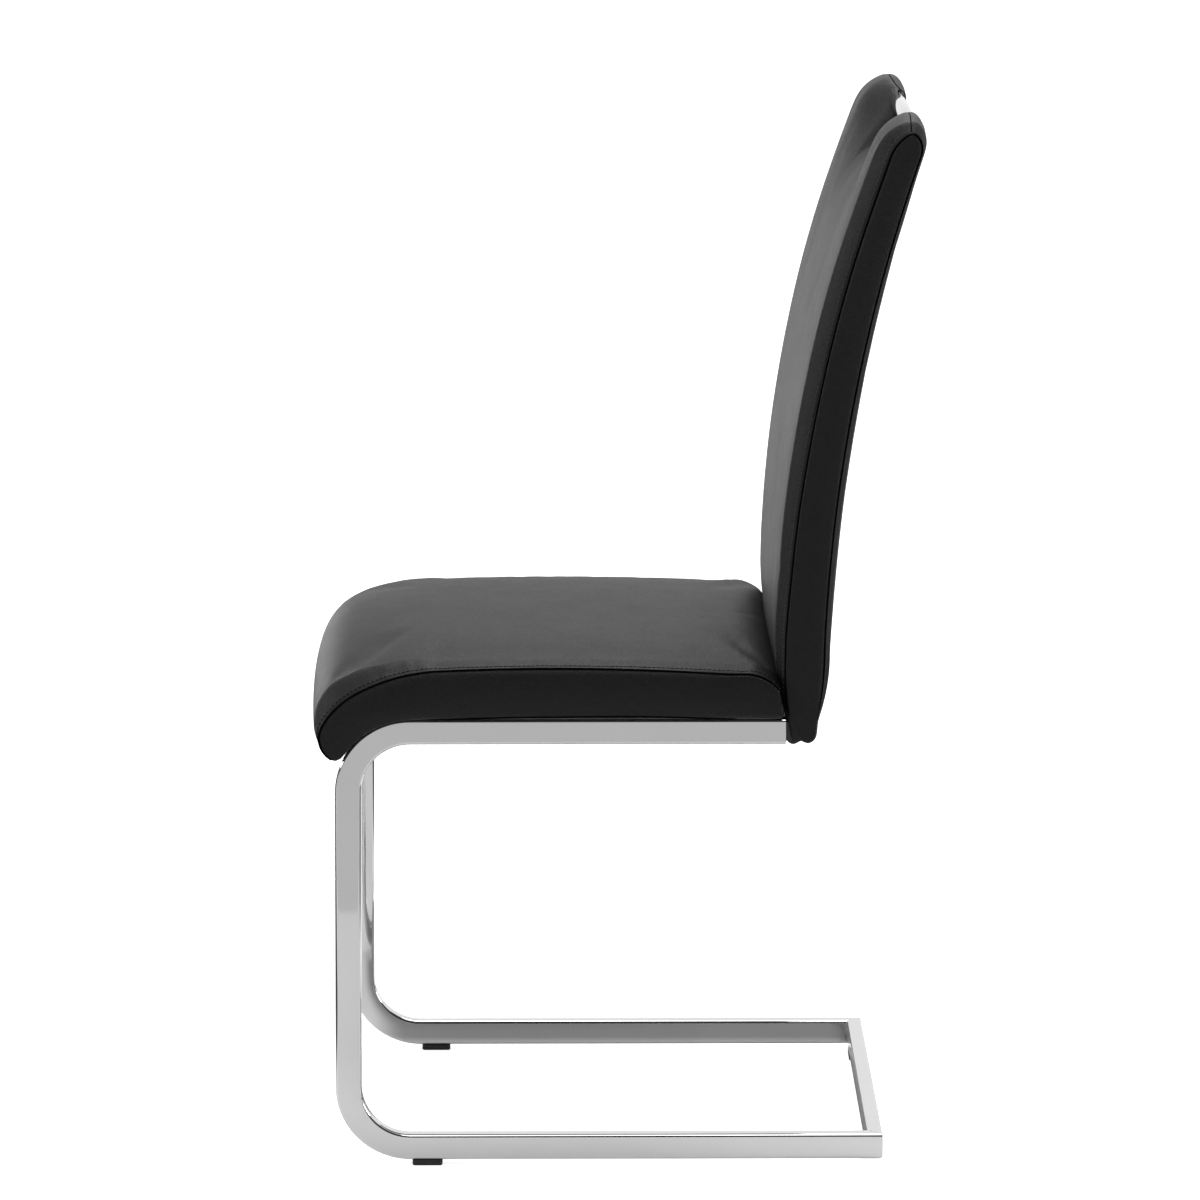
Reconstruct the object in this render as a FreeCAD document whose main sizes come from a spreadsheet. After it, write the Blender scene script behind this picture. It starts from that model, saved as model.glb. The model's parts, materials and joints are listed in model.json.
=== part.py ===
"""Cantilever dining chair: a bent flat-tube frame, a sprung seat and a high back with a grab handle.

The front of the chair faces -Y, +Z is up, and the origin is on the floor under the middle of the chair.
Heights are measured from the floor, and depths from the front face of the legs, unless a name says otherwise.
"""
import FreeCAD, Part
import math
import os
import Sketcher

Vector = FreeCAD.Vector

doc = FreeCAD.newDocument("cantilever_chair")
sheet = doc.addObject("Spreadsheet::Sheet", "Sizes")

SIZES = [
    ("leg_front", -267.0, "place of the legs' front face in the frame of the part"),
    ("frame_width", 415.0, "over the outer faces of the two side tubes"),
    ("floor_length", 527.0, "leg front to the back of the floor bar"),
    ("seat_tube_top", 441.0, "height of the seat tubes' upper face"),
    ("seat_tube_length", 431.0, "leg front to the open end of the seat tube"),
    ("bend_radius", 72.0, "outer radius of the tube bends"),
    ("tube_height", 25.0, "tube section in the side plane"),
    ("tube_width", 15.0, "tube section across the chair"),
    ("tube_wall", 1.5, "wall of the tube"),
    ("tube_corner", 3.0, "outer corner radius of the tube"),
    ("glide_height", 6.0, "thickness of the floor pads"),
    ("glide_length", 29.0, "length of the floor pads"),
    ("glide_place", 88.0, "leg front to the middle of a front pad"),
    ("glide_spread", 330.0, "distance between the two rear pads"),
    ("peg_diameter", 6.0, "peg of a floor pad"),
    ("peg_length", 9.0, "height of the peg above the pad"),
    ("crossbar_depth", 30.0, "seat crossbar along the chair"),
    ("crossbar_height", 18.0, "seat crossbar upwards"),
    ("crossbar_front_place", 110.0, "leg front to the middle of the front crossbar"),
    ("crossbar_rear_inset", 81.0, "open end of the seat tube to the middle of the rear crossbar"),
    ("bolt_spread", 260.0, "distance between the bolts of a crossbar"),
    ("bolt_diameter", 6.0, "seat bolts"),
    ("bolt_head", 12.0, "hexagon head of the bolts and collar of the nuts, over the corners"),
    ("bolt_head_height", 3.5, "head height of the bolts"),
    ("nut_wall", 2.0, "bolt to the corners of the hexagonal insert nut"),
    ("nut_collar", 1.2, "thickness of the insert nut's collar"),
    ("board_thickness", 8.0, "moulded seat board"),
    ("board_inset", 15.0, "side of the seat to the side of the board"),
    ("cover_thickness", 1.8, "imitation leather with its backing"),
    ("gap", 0.3, "clearance between pieces that lie on each other"),
    ("seam_rim", 0.7, "edge of a side panel to the corner of the form"),
    ("seat_overhang", 9.5, "side panel of the seat outside the side tube"),
    ("seat_clearance", 11.5, "rear end of the seat to the open end of the seat tubes"),
    ("seat_side_height", 50.0, "seam of the side panel above the seat tubes"),
    ("seat_roll_overhang", 12.0, "front roll in front of the legs, at the seam"),
    ("seat_tip_drop", 39.0, "lowest edge of the front roll under the tube top"),
    ("seat_edge_rise", 9.0, "top of the rounded side edge above the seam"),
    ("seat_crown", 8.0, "further rise of the seat's middle"),
    ("seat_edge_radius", 26.0, "rounded side edge, measured across the chair"),
    ("back_overhang", 4.5, "side panel of the back outside the side tube"),
    ("back_lap", 10.0, "foremost face of the back in front of the tube end"),
    ("back_turn_rise", 114.0, "lower edge of the back to where it stands upright"),
    ("back_radius", 1290.0, "radius of the back's front face in side view"),
    ("back_foot_drop", 25.0, "seat tube top down to the back's lower edge"),
    ("back_top", 1014.0, "height of the two ears"),
    ("back_depth_low", 52.0, "horizontal thickness of the back near the seat"),
    ("back_depth_mid", 59.5, "horizontal thickness half way up"),
    ("back_depth_top", 53.0, "horizontal thickness under the ears"),
    ("back_foot_depth", 30.0, "thickness of the gathered lower end"),
    ("back_edge_front", 16.0, "front edge: face to seam of the side panel"),
    ("back_edge_rear", 6.0, "rear edge: face to seam of the side panel"),
    ("back_edge_top", 11.0, "ear top to seam of the side panel"),
    ("back_edge_round", 16.0, "rounded side edge, measured across the chair"),
    ("notch_width", 190.0, "finger opening between the ears"),
    ("notch_depth", 59.0, "ear top down to the finger opening's lower edge"),
    ("notch_corner", 22.0, "corner radius of the finger opening"),
    ("scoop_radius", 175.0, "dished front face under the notch"),
    ("scoop_slope", 44.0, "slope of the dish from upright, in degrees"),
    ("notch_lip", 12.0, "thickness of the back at the finger opening's lower edge"),
    ("handle_diameter", 14.5, "grab handle"),
    ("handle_drop", 17.0, "ear top down to the axis of the grab handle"),
    ("handle_inset", 9.5, "axis of the grab handle in front of the rear face"),
    ("upright_depth", 16.0, "back upright along the chair"),
    ("upright_inset", 16.0, "face of the back to the face of the upright"),
    ("upright_drop", 26.0, "ear top down to the uprights' upper end"),
    ("upright_foot", 6.5, "lower edge of the back to the foot of the uprights"),
    ("upright_reach", 16.0, "tube end to the inside of the upright"),
    ("cap_height", 3.0, "plastic cap on an upright"),
    ("rail_height", 22.0, "top rail of the back frame, upwards"),
    ("bottom_rail_height", 13.0, "bottom rail of the back frame, upwards"),
    ("rail_depth", 12.0, "both rails along the chair"),
    ("top_rail_drop", 134.0, "ear top down to the middle of the top rail"),
    ("tongue_length", 42.0, "tongue of the upright inside the seat tube"),
    ("tongue_height", 18.0, "tongue of the upright"),
    ("tongue_width", 11.4, "tongue of the upright"),
    ("tongue_screw_place", 25.0, "tube end to the tongue screw, a grub screw flush with the tube"),
    ("tongue_screw_diameter", 5.0, "tongue screw"),
    ("bracket_thickness", 3.0, "plate between upright and grab handle"),
    ("bracket_height", 34.0, "length of the plate's seat on the upright"),
    ("handle_screw_diameter", 5.0, "screw in the end of the grab handle"),
    ("handle_screw_length", 21.0, "screw in the end of the grab handle"),
    ("handle_screw_head", 9.0, "head diameter of the handle screw"),
    ("handle_screw_head_height", 3.0, "head height of the handle screw"),
    ("seam_turn_drop", 314.0, "ear top down to the middle of the joint between the two cover panels"),
    ("seam_shoulder_drop", 45.0, "ear top down to where that joint turns upright"),
    ("seam_inset", 24.0, "front face to the joint of the two cover panels at that height"),
    ("strap_count", 5, "elastic straps in the back"),
    ("strap_height", 44.0, "width of a strap"),
    ("strap_thickness", 2.0, "thickness of a strap"),
    ("strap_rise", 104.0, "lower edge of the back to the middle of the lowest strap"),
    ("strap_pitch", 80.0, "distance between the straps"),
]

for row, (alias, value, meaning) in enumerate(SIZES, start=1):
    sheet.set("A%d" % row, meaning)
    sheet.set("B%d" % row, str(value))
    sheet.setAlias("B%d" % row, alias)
doc.recompute()


def size(alias):
    """The value of one named size."""
    return float(sheet.get(alias))


# Derived places, all from the sheet
GAP = size("gap")
SKIN = size("cover_thickness")
FRONT = size("leg_front")
TUBE_TOP = size("seat_tube_top")
TUBE_BOTTOM = TUBE_TOP - size("tube_height")
TUBE_CENTRE_X = (size("frame_width") - size("tube_width")) / 2
TUBE_END = size("seat_tube_length")
RIGHT, LEFT = 1, -1
SEAT_HALF = size("frame_width") / 2 + size("seat_overhang")
SEAT_END = TUBE_END - size("seat_clearance")
BACK_HALF = size("frame_width") / 2 + size("back_overhang")
BACK_BOTTOM = TUBE_TOP - size("back_foot_drop")
BACK_TOP = size("back_top")
BACK_TURN = BACK_BOTTOM + size("back_turn_rise")
NOTCH_FLOOR = BACK_TOP - size("notch_depth")
HANDLE_HEIGHT = BACK_TOP - size("handle_drop")
UPRIGHT_TOP = BACK_TOP - size("upright_drop")
INNER_SIDE = size("frame_width") / 2 - size("tube_width")
CROSSBARS = [
    ("seat_crossbar_front", size("crossbar_front_place"), "Sizes.crossbar_front_place"),
    ("seat_crossbar_rear", TUBE_END - size("crossbar_rear_inset"),
     "Sizes.seat_tube_length - Sizes.crossbar_rear_inset"),
]


def origin_plane(body, role):
    """One of the body's own origin planes."""
    return next(item for item in body.Origin.OriginFeatures if item.Role == role)


def new_sketch(body, name, role, place):
    """A sketch on an origin plane, moved by expressions along the plane's x, y and normal."""
    sketch = body.newObject("Sketcher::SketchObject", name)
    sketch.AttachmentSupport = [(origin_plane(body, role), "")]
    sketch.MapMode = "FlatFace"
    for axis, expression in zip("xyz", place):
        sketch.setExpression("AttachmentOffset.Base." + axis, expression)
    return sketch


def bind(sketch, constraint, expression):
    """Add a dimension and bind it to the sheet."""
    index = sketch.addConstraint(constraint)
    sketch.setExpression("Constraints[%d]" % index, expression)


def rounded_rectangle(sketch, width, height, radius, values, lift="0", lift_value=0.0):
    """A rectangle with round corners, its middle lifted off the sketch's origin; values are its present sizes."""
    half_w, half_h, r = values[0] / 2, values[1] / 2, values[2]
    corners = [(half_w, half_h, 0), (-half_w, half_h, 90), (-half_w, -half_h, 180), (half_w, -half_h, 270)]
    arcs = []
    for x, y, start in corners:
        centre = Vector(x - math.copysign(r, x), lift_value + y - math.copysign(r, y), 0)
        circle = Part.Circle(centre, Vector(0, 0, 1), r)
        arcs.append(sketch.addGeometry(Part.ArcOfCircle(circle, math.radians(start), math.radians(start + 90))))
    lines = []
    for number, arc in enumerate(arcs):
        following = arcs[(number + 1) % 4]
        start = sketch.Geometry[arc].EndPoint
        end = sketch.Geometry[following].StartPoint
        line = sketch.addGeometry(Part.LineSegment(start, end))
        sketch.addConstraint(Sketcher.Constraint("Tangent", arc, 2, line, 1))
        sketch.addConstraint(Sketcher.Constraint("Tangent", line, 2, following, 1))
        sketch.addConstraint(Sketcher.Constraint("Horizontal" if number % 2 == 0 else "Vertical", line))
        lines.append(line)
    for arc in arcs[1:]:
        sketch.addConstraint(Sketcher.Constraint("Equal", arcs[0], arc))
    bind(sketch, Sketcher.Constraint("Radius", arcs[0], r), radius)
    top, left, bottom, right = lines
    bind(sketch, Sketcher.Constraint("DistanceX", left, 1, -1, 1, half_w), width + " / 2")
    bind(sketch, Sketcher.Constraint("DistanceX", -1, 1, right, 1, half_w), width + " / 2")
    bind(sketch, Sketcher.Constraint("DistanceY", bottom, 1, top, 1, 2 * half_h), height)
    bind(sketch, Sketcher.Constraint("DistanceY", -1, 1, top, 1, lift_value + half_h),
         "%s + %s / 2" % (lift, height))


def plain_rectangle(sketch, width, height, values, lift, lift_value):
    """A rectangle with sharp corners, its middle lifted off the sketch's origin; values are its present sizes."""
    half_w, half_h = values[0] / 2, values[1] / 2
    points = [(half_w, lift_value + half_h), (-half_w, lift_value + half_h),
              (-half_w, lift_value - half_h), (half_w, lift_value - half_h)]
    first = len(sketch.Geometry)
    for number, point in enumerate(points):
        following = points[(number + 1) % 4]
        sketch.addGeometry(Part.LineSegment(Vector(*point, 0), Vector(*following, 0)))
    for number in range(4):
        here, after = first + number, first + (number + 1) % 4
        sketch.addConstraint(Sketcher.Constraint("Coincident", here, 2, after, 1))
        sketch.addConstraint(Sketcher.Constraint("Horizontal" if number % 2 == 0 else "Vertical", here))
    bind(sketch, Sketcher.Constraint("DistanceX", first, 2, first, 1, 2 * half_w), width)
    bind(sketch, Sketcher.Constraint("DistanceX", -1, 1, first, 1, half_w), width + " / 2")
    bind(sketch, Sketcher.Constraint("DistanceY", first + 1, 2, first + 1, 1, 2 * half_h), height)
    bind(sketch, Sketcher.Constraint("DistanceY", -1, 1, first, 1, lift_value + half_h),
         "%s + %s / 2" % (lift, height))


def tube_section(sketch, across, along, lift="0", lift_value=0.0):
    """The hollow tube section: across is the alias along the sketch's x, along the one along its y."""
    wall, corner = size("tube_wall"), size("tube_corner")
    a, b = size(across), size(along)
    rounded_rectangle(sketch, "Sizes." + across, "Sizes." + along, "Sizes.tube_corner", (a, b, corner),
                      lift, lift_value)
    inner = "(Sizes.%s - 2 * Sizes.tube_wall)"
    plain_rectangle(sketch, inner % across, inner % along, (a - 2 * wall, b - 2 * wall), lift, lift_value)


def polygon(sketch, points, expressions):
    """A closed polygon; expressions give each corner's distances from the sketch's origin."""
    count = len(points)
    for start, end in zip(points, points[1:] + points[:1]):
        sketch.addGeometry(Part.LineSegment(Vector(*start, 0), Vector(*end, 0)))
    for number in range(count):
        sketch.addConstraint(Sketcher.Constraint("Coincident", number, 2, (number + 1) % count, 1))
    for number, (point, (x_text, y_text)) in enumerate(zip(points, expressions)):
        bind(sketch, Sketcher.Constraint("DistanceX", -1, 1, number, 1, point[0]), x_text)
        bind(sketch, Sketcher.Constraint("DistanceY", -1, 1, number, 1, point[1]), y_text)


def circle_sketch(sketch, radius, expression):
    """One circle about the sketch's origin."""
    sketch.addGeometry(Part.Circle(Vector(0, 0, 0), Vector(0, 0, 1), radius))
    sketch.addConstraint(Sketcher.Constraint("Coincident", 0, 3, -1, 1))
    bind(sketch, Sketcher.Constraint("Radius", 0, radius), expression)


def pocket(body, sketch, length, reverse):
    """Cut the sketch out of the body, and make sure that it cut something."""
    doc.recompute()
    before = body.Shape.Volume
    cut = body.newObject("PartDesign::Pocket", sketch.Name + "_cut")
    cut.Profile = sketch
    cut.setExpression("Length", length)
    cut.Reversed = reverse
    doc.recompute()
    if body.Shape.Volume > before - 0.1:
        raise RuntimeError(sketch.Name + " cuts nothing")


def mirrored(source, label):
    """The left-hand twin of a right-hand piece."""
    twin = doc.addObject("Part::Mirroring", label)
    twin.Source = source
    twin.Normal = Vector(1, 0, 0)
    twin.Base = Vector(0, 0, 0)
    twin.Label = label
    return twin


def feature(label, shape):
    """A piece whose shape is worked out in this file."""
    piece = doc.addObject("Part::Feature", label)
    piece.Label = label
    piece.Shape = shape
    piece.Placement = FreeCAD.Placement()
    return piece


def straight(body, name, section, length, reverse=False):
    """A straight run of tube from its section."""
    run = body.newObject("PartDesign::Pad", name)
    run.Profile = section
    run.setExpression("Length", length)
    run.Reversed = reverse
    doc.recompute()


def bend(body, name, section, angles, reverse=False):
    """A bent run of tube: the section turned about its sketch's x axis by one angle, or by one each way."""
    turn = body.newObject("PartDesign::Revolution", name)
    turn.Profile = section
    turn.ReferenceAxis = (section, ["H_Axis"])
    turn.setExpression("Angle", angles[0])
    if len(angles) == 2:
        turn.Type = "TwoAngles"
        turn.setExpression("Angle2", angles[1])
    turn.Reversed = reverse
    doc.recompute()


def build_side_tube():
    """Seat tube, upper bend, leg, lower bend and floor runner in one bent tube, mitred at its rear end."""
    body = doc.addObject("PartDesign::Body", "side_tube_right")
    x = "(Sizes.frame_width - Sizes.tube_width) / 2"
    bend_start = "Sizes.leg_front + Sizes.bend_radius"
    upper, lower = "Sizes.seat_tube_top - Sizes.bend_radius", "Sizes.glide_height + Sizes.bend_radius"
    reach = "(Sizes.bend_radius - Sizes.tube_height / 2)"
    lift = size("bend_radius") - size("tube_height") / 2

    seat_section = new_sketch(body, "seat_section", "XZ_Plane", (x, upper, "-(%s)" % bend_start))
    tube_section(seat_section, "tube_width", "tube_height", reach, lift)
    straight(body, "seat_run", seat_section, "Sizes.seat_tube_length - Sizes.bend_radius", True)
    bend(body, "upper_bend", seat_section, ["90"])
    leg_section = new_sketch(body, "leg_section", "XY_Plane", (x, bend_start, lower))
    tube_section(leg_section, "tube_width", "tube_height", "-" + reach, -lift)
    straight(body, "leg", leg_section, "%s - (%s)" % (upper, lower))
    bend(body, "lower_bend", leg_section, ["90"])
    runner_section = new_sketch(body, "runner_section", "XZ_Plane", (x, lower, "-(%s)" % bend_start))
    tube_section(runner_section, "tube_width", "tube_height", "-" + reach, -lift)
    straight(body, "runner", runner_section, "Sizes.floor_length - Sizes.bend_radius", True)

    width = size("tube_width")
    mitre = new_sketch(body, "mitre", "XY_Plane",
                       ("Sizes.frame_width / 2 - Sizes.tube_width",
                        "Sizes.leg_front + Sizes.floor_length - Sizes.tube_width",
                        "Sizes.glide_height"))
    polygon(mitre, [(0, 0), (width, width), (0, width)],
            [("0 mm", "0 mm"), ("Sizes.tube_width", "Sizes.tube_width"), ("0 mm", "Sizes.tube_width")])
    pocket(body, mitre, "Sizes.tube_height", True)

    hole_x = "(Sizes.frame_width - Sizes.tube_width) / 2"
    peg_hole = new_sketch(body, "peg_hole", "XY_Plane",
                          (hole_x, "Sizes.leg_front + Sizes.glide_place", "Sizes.glide_height"))
    circle_sketch(peg_hole, size("peg_diameter") / 2 + GAP, "Sizes.peg_diameter / 2 + Sizes.gap")
    pocket(body, peg_hole, "2 * Sizes.tube_wall", True)
    screw_hole = new_sketch(body, "tongue_screw_hole", "XY_Plane",
                            (hole_x, "Sizes.leg_front + Sizes.seat_tube_length - Sizes.tongue_screw_place",
                             "Sizes.seat_tube_top - Sizes.tube_height"))
    circle_sketch(screw_hole, size("tongue_screw_diameter") / 2 + GAP,
                  "Sizes.tongue_screw_diameter / 2 + Sizes.gap")
    pocket(body, screw_hole, "2 * Sizes.tube_wall", True)
    return body


def build_floor_bar():
    """The rear bar of the floor loop, mitred at both ends, with the holes of its two pads."""
    body = doc.addObject("PartDesign::Body", "rear_floor_bar")
    section = new_sketch(body, "bar_section", "YZ_Plane",
                         ("Sizes.leg_front + Sizes.floor_length - Sizes.tube_width / 2",
                          "Sizes.glide_height + Sizes.tube_height / 2", "0 mm"))
    tube_section(section, "tube_width", "tube_height")
    pad = body.newObject("PartDesign::Pad", "bar")
    pad.Profile = section
    pad.SideType = "Symmetric"
    pad.setExpression("Length", "Sizes.frame_width")
    width = size("tube_width")
    for side, name in ((RIGHT, "mitre_right"), (LEFT, "mitre_left")):
        mitre = new_sketch(body, name, "XY_Plane",
                           ("%d * (Sizes.frame_width / 2 - Sizes.tube_width)" % side,
                            "Sizes.leg_front + Sizes.floor_length - Sizes.tube_width", "Sizes.glide_height"))
        polygon(mitre, [(0, 0), (side * width, 0), (side * width, width)],
                [("0 mm", "0 mm"), ("%d * Sizes.tube_width" % side, "0 mm"),
                 ("%d * Sizes.tube_width" % side, "Sizes.tube_width")])
        pocket(body, mitre, "Sizes.tube_height", True)
        hole = new_sketch(body, name + "_peg_hole", "XY_Plane",
                          ("%d * Sizes.glide_spread / 2" % side,
                           "Sizes.leg_front + Sizes.floor_length - Sizes.tube_width / 2", "Sizes.glide_height"))
        circle_sketch(hole, size("peg_diameter") / 2 + GAP, "Sizes.peg_diameter / 2 + Sizes.gap")
        pocket(body, hole, "2 * Sizes.tube_wall", True)
    return body


def build_glide(label, place, turned):
    """A pad with a peg that presses into the tube's lower wall; place holds its x and y expressions."""
    body = doc.addObject("PartDesign::Body", label)
    sketch = new_sketch(body, label + "_pad", "XY_Plane", (place[0], place[1], "0 mm"))
    long_side = ("Sizes.glide_length", size("glide_length"))
    short_side = ("Sizes.tube_width - 2 * Sizes.gap", size("tube_width") - 2 * GAP)
    across, along = (long_side, short_side) if turned else (short_side, long_side)
    rounded_rectangle(sketch, "(%s)" % across[0], "(%s)" % along[0], "Sizes.tube_corner",
                      (across[1], along[1], size("tube_corner")))
    pad = body.newObject("PartDesign::Pad", label + "_plate")
    pad.Profile = sketch
    pad.setExpression("Length", "Sizes.glide_height")
    peg_sketch = new_sketch(body, label + "_peg", "XY_Plane", (place[0], place[1], "Sizes.glide_height"))
    circle_sketch(peg_sketch, size("peg_diameter") / 2, "Sizes.peg_diameter / 2")
    peg = body.newObject("PartDesign::Pad", label + "_stud")
    peg.Profile = peg_sketch
    peg.setExpression("Length", "Sizes.peg_length")
    return body


def box(x_range, y_range, z_range):
    """A block between two places on each axis; y is a depth from the leg front."""
    low = Vector(x_range[0], FRONT + y_range[0], z_range[0])
    return Part.makeBox(x_range[1] - x_range[0], y_range[1] - y_range[0], z_range[1] - z_range[0], low)


def cylinder(x, depth, z, radius, length, direction):
    """A cylinder whose first end is centred at x, depth and z."""
    return Part.makeCylinder(radius, length, Vector(x, FRONT + depth, z), direction)


def hexagon(x, depth, z, radius, length, direction):
    """A hexagonal prism whose first end is centred at x, depth and z."""
    centre = Vector(x, FRONT + depth, z)
    first = Vector(0, 1, 0)
    second = direction.cross(first)
    turns = [math.radians(60 * number) for number in range(7)]
    corners = [centre + first * (radius * math.cos(turn)) + second * (radius * math.sin(turn)) for turn in turns]
    return Part.Face(Part.makePolygon(corners)).extrude(direction * length)


UP, DOWN, ACROSS = Vector(0, 0, 1), Vector(0, 0, -1), Vector(1, 0, 0)


def outline_wire(x, outline):
    """The closed wire at x of an outline: each edge is a list of two points, or of three for an arc."""
    edges = []
    for points in outline:
        corners = [Vector(x, FRONT + depth, z) for depth, z in points]
        if len(corners) == 2:
            edges.append(Part.LineSegment(*corners).toShape())
        else:
            edges.append(Part.Arc(*corners).toShape())
    return Part.Wire(edges)


def mixed(first, second, share):
    """The outline that lies a share of the way from the first to the second."""
    return [[(a[0] + share * (b[0] - a[0]), a[1] + share * (b[1] - a[1])) for a, b in zip(one, two)]
            for one, two in zip(first, second)]


def inset(outline, distance):
    """The outline moved inwards, each point at right angles to the line through its two neighbours."""
    points = [point for edge in outline for point in edge[:-1]]
    moved = {}
    count = len(points)
    for number, (depth, z) in enumerate(points):
        before, after = points[number - 1], points[(number + 1) % count]
        run, rise = after[0] - before[0], after[1] - before[1]
        length = math.hypot(run, rise)
        moved[(depth, z)] = (depth + distance * rise / length, z - distance * run / length)
    return [[moved[point] for point in edge] for edge in outline]


def rounded_share(place, half_width, round_width):
    """How far the edge outline has closed in at a place across: 0 where the round begins, 1 at the side."""
    run = (abs(place) - (half_width - round_width)) / round_width
    return 1 - math.sqrt(max(0.0, 1 - min(1.0, run) ** 2)) if run > 0 else 0.0


def cushion(full, side, half_width, round_width, crown_share, wall):
    """A pillow form across the chair: outlines that close in towards its two side panels, and a swollen middle."""
    begin = half_width - round_width
    level = begin / 2 if crown_share > 0 else begin
    places = [begin, begin + 0.75 * round_width, half_width - wall]
    if level < begin:
        places.insert(0, level)

    def walled(outline):
        return inset(outline, wall) if wall > 0 else outline

    def wire(place):
        share = rounded_share(min(abs(place) + wall, half_width), half_width, round_width)
        if abs(place) < begin:
            share = -crown_share
        return outline_wire(place, walled(mixed(full, side, share)))
    ends = [Part.makeLoft([wire(hand * place) for place in places], True, True) for hand in (RIGHT, LEFT)]
    return extruded(walled(mixed(full, side, -crown_share)), level).fuse(ends)


def split_skin(label, outer, inner, side, half_width):
    """Take the two side panels out of a hollow form; gives the panels and the open sleeve that is left."""
    skin = outer.cut(inner)
    seam = size("seam_rim")
    pieces = []
    for hand, name in ((RIGHT, "right"), (LEFT, "left")):
        start = half_width - SKIN if hand == RIGHT else -half_width
        panel = Part.Face(outline_wire(start, inset(side, seam + GAP))).extrude(ACROSS * SKIN)
        start = half_width - SKIN if hand == RIGHT else -half_width - 1
        skin = skin.cut(Part.Face(outline_wire(start, inset(side, seam))).extrude(ACROSS * (SKIN + 1)))
        pieces.append((label + "_side_" + name, panel))
    return pieces, skin


def extruded(outline, half_width):
    """A solid of one outline, from side to side."""
    return Part.Face(outline_wire(-half_width, outline)).extrude(ACROSS * (2 * half_width))


def seat_outlines():
    """The seat's outline beside the rounded edge and the outline of its side panel, tip first, clockwise."""
    seam, rise, end = size("seat_side_height"), size("seat_edge_rise"), SEAT_END
    hang, drop = size("seat_roll_overhang"), size("seat_tip_drop")
    bend = size("bend_radius")
    under = bend + GAP
    tip_angle = math.radians(30)
    heel = (bend - under * math.cos(tip_angle), TUBE_TOP - bend + under * math.sin(tip_angle))
    arch = (bend - under * math.cos(math.radians(60)), TUBE_TOP - bend + under * math.sin(math.radians(60)))
    rest = (bend, TUBE_TOP + GAP)
    top = TUBE_TOP + seam
    foot = (2.0, TUBE_TOP - drop)
    nose = (-hang, TUBE_TOP - 9)
    brow = (15.0, top - 28)
    crest = (106.0, top - 1)
    back_seam = (end - 38, top - 5)
    heel_top = (end + 3, top - 18)
    side = [
        [foot, (-hang + 3.5, foot[1] + 8), nose],
        [nose, (-2.5, nose[1] + 14.5), brow],
        [brow, (55.0, top - 9.5), crest],
        [crest, ((crest[0] + back_seam[0]) / 2, top + 1), back_seam],
        [back_seam, (end - 10, top - 9), heel_top],
        [heel_top, (end + 3, TUBE_TOP + GAP)],
        [(end + 3, TUBE_TOP + GAP), rest],
        [rest, arch, heel],
        [heel, foot],
    ]
    foot, nose = (1.0, TUBE_TOP - drop - 3), (-hang - 5, TUBE_TOP + 9)
    brow, crest = (13.5, top - 7), (100.0, top + rise)
    back_top, heel_top = (end - 33, top + rise - 3), (end, top - 11)
    full = [
        [foot, (-hang - 1, foot[1] + 15), nose],
        [nose, (nose[0] + 9.5, nose[1] + 17), brow],
        [brow, (52.0, top + rise - 4), crest],
        [crest, ((crest[0] + back_top[0]) / 2, top + rise + 1.5), back_top],
        [back_top, (end - 10, top + 1), heel_top],
        [heel_top, (end, TUBE_TOP + GAP)],
        [(end, TUBE_TOP + GAP), rest],
        [rest, arch, heel],
        [heel, foot],
    ]
    return full, side


def bent_band(lift, thickness, end, half_width):
    """A sheet that lies along the seat tubes' upper face and down their upper bend, lifted off the tubes."""
    bend = size("bend_radius")
    low, high = bend + lift, bend + lift + thickness
    base = TUBE_TOP - bend

    def on_bend(radius, degrees):
        angle = math.radians(degrees)
        return (bend - radius * math.cos(angle), base + radius * math.sin(angle))
    outline = [
        [on_bend(low, 30), on_bend(high, 30)],
        [on_bend(high, 30), on_bend(high, 60), on_bend(high, 90)],
        [on_bend(high, 90), (end, TUBE_TOP + lift + thickness)],
        [(end, TUBE_TOP + lift + thickness), (end, TUBE_TOP + lift)],
        [(end, TUBE_TOP + lift), on_bend(low, 90)],
        [on_bend(low, 90), on_bend(low, 60), on_bend(low, 30)],
    ]
    return extruded(outline, half_width)


def seat_bolt_places():
    """The x and depth of the four seat bolts."""
    half = size("bolt_spread") / 2
    return [(side * half, place) for label, place, text in CROSSBARS for side in (RIGHT, LEFT)]


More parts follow.
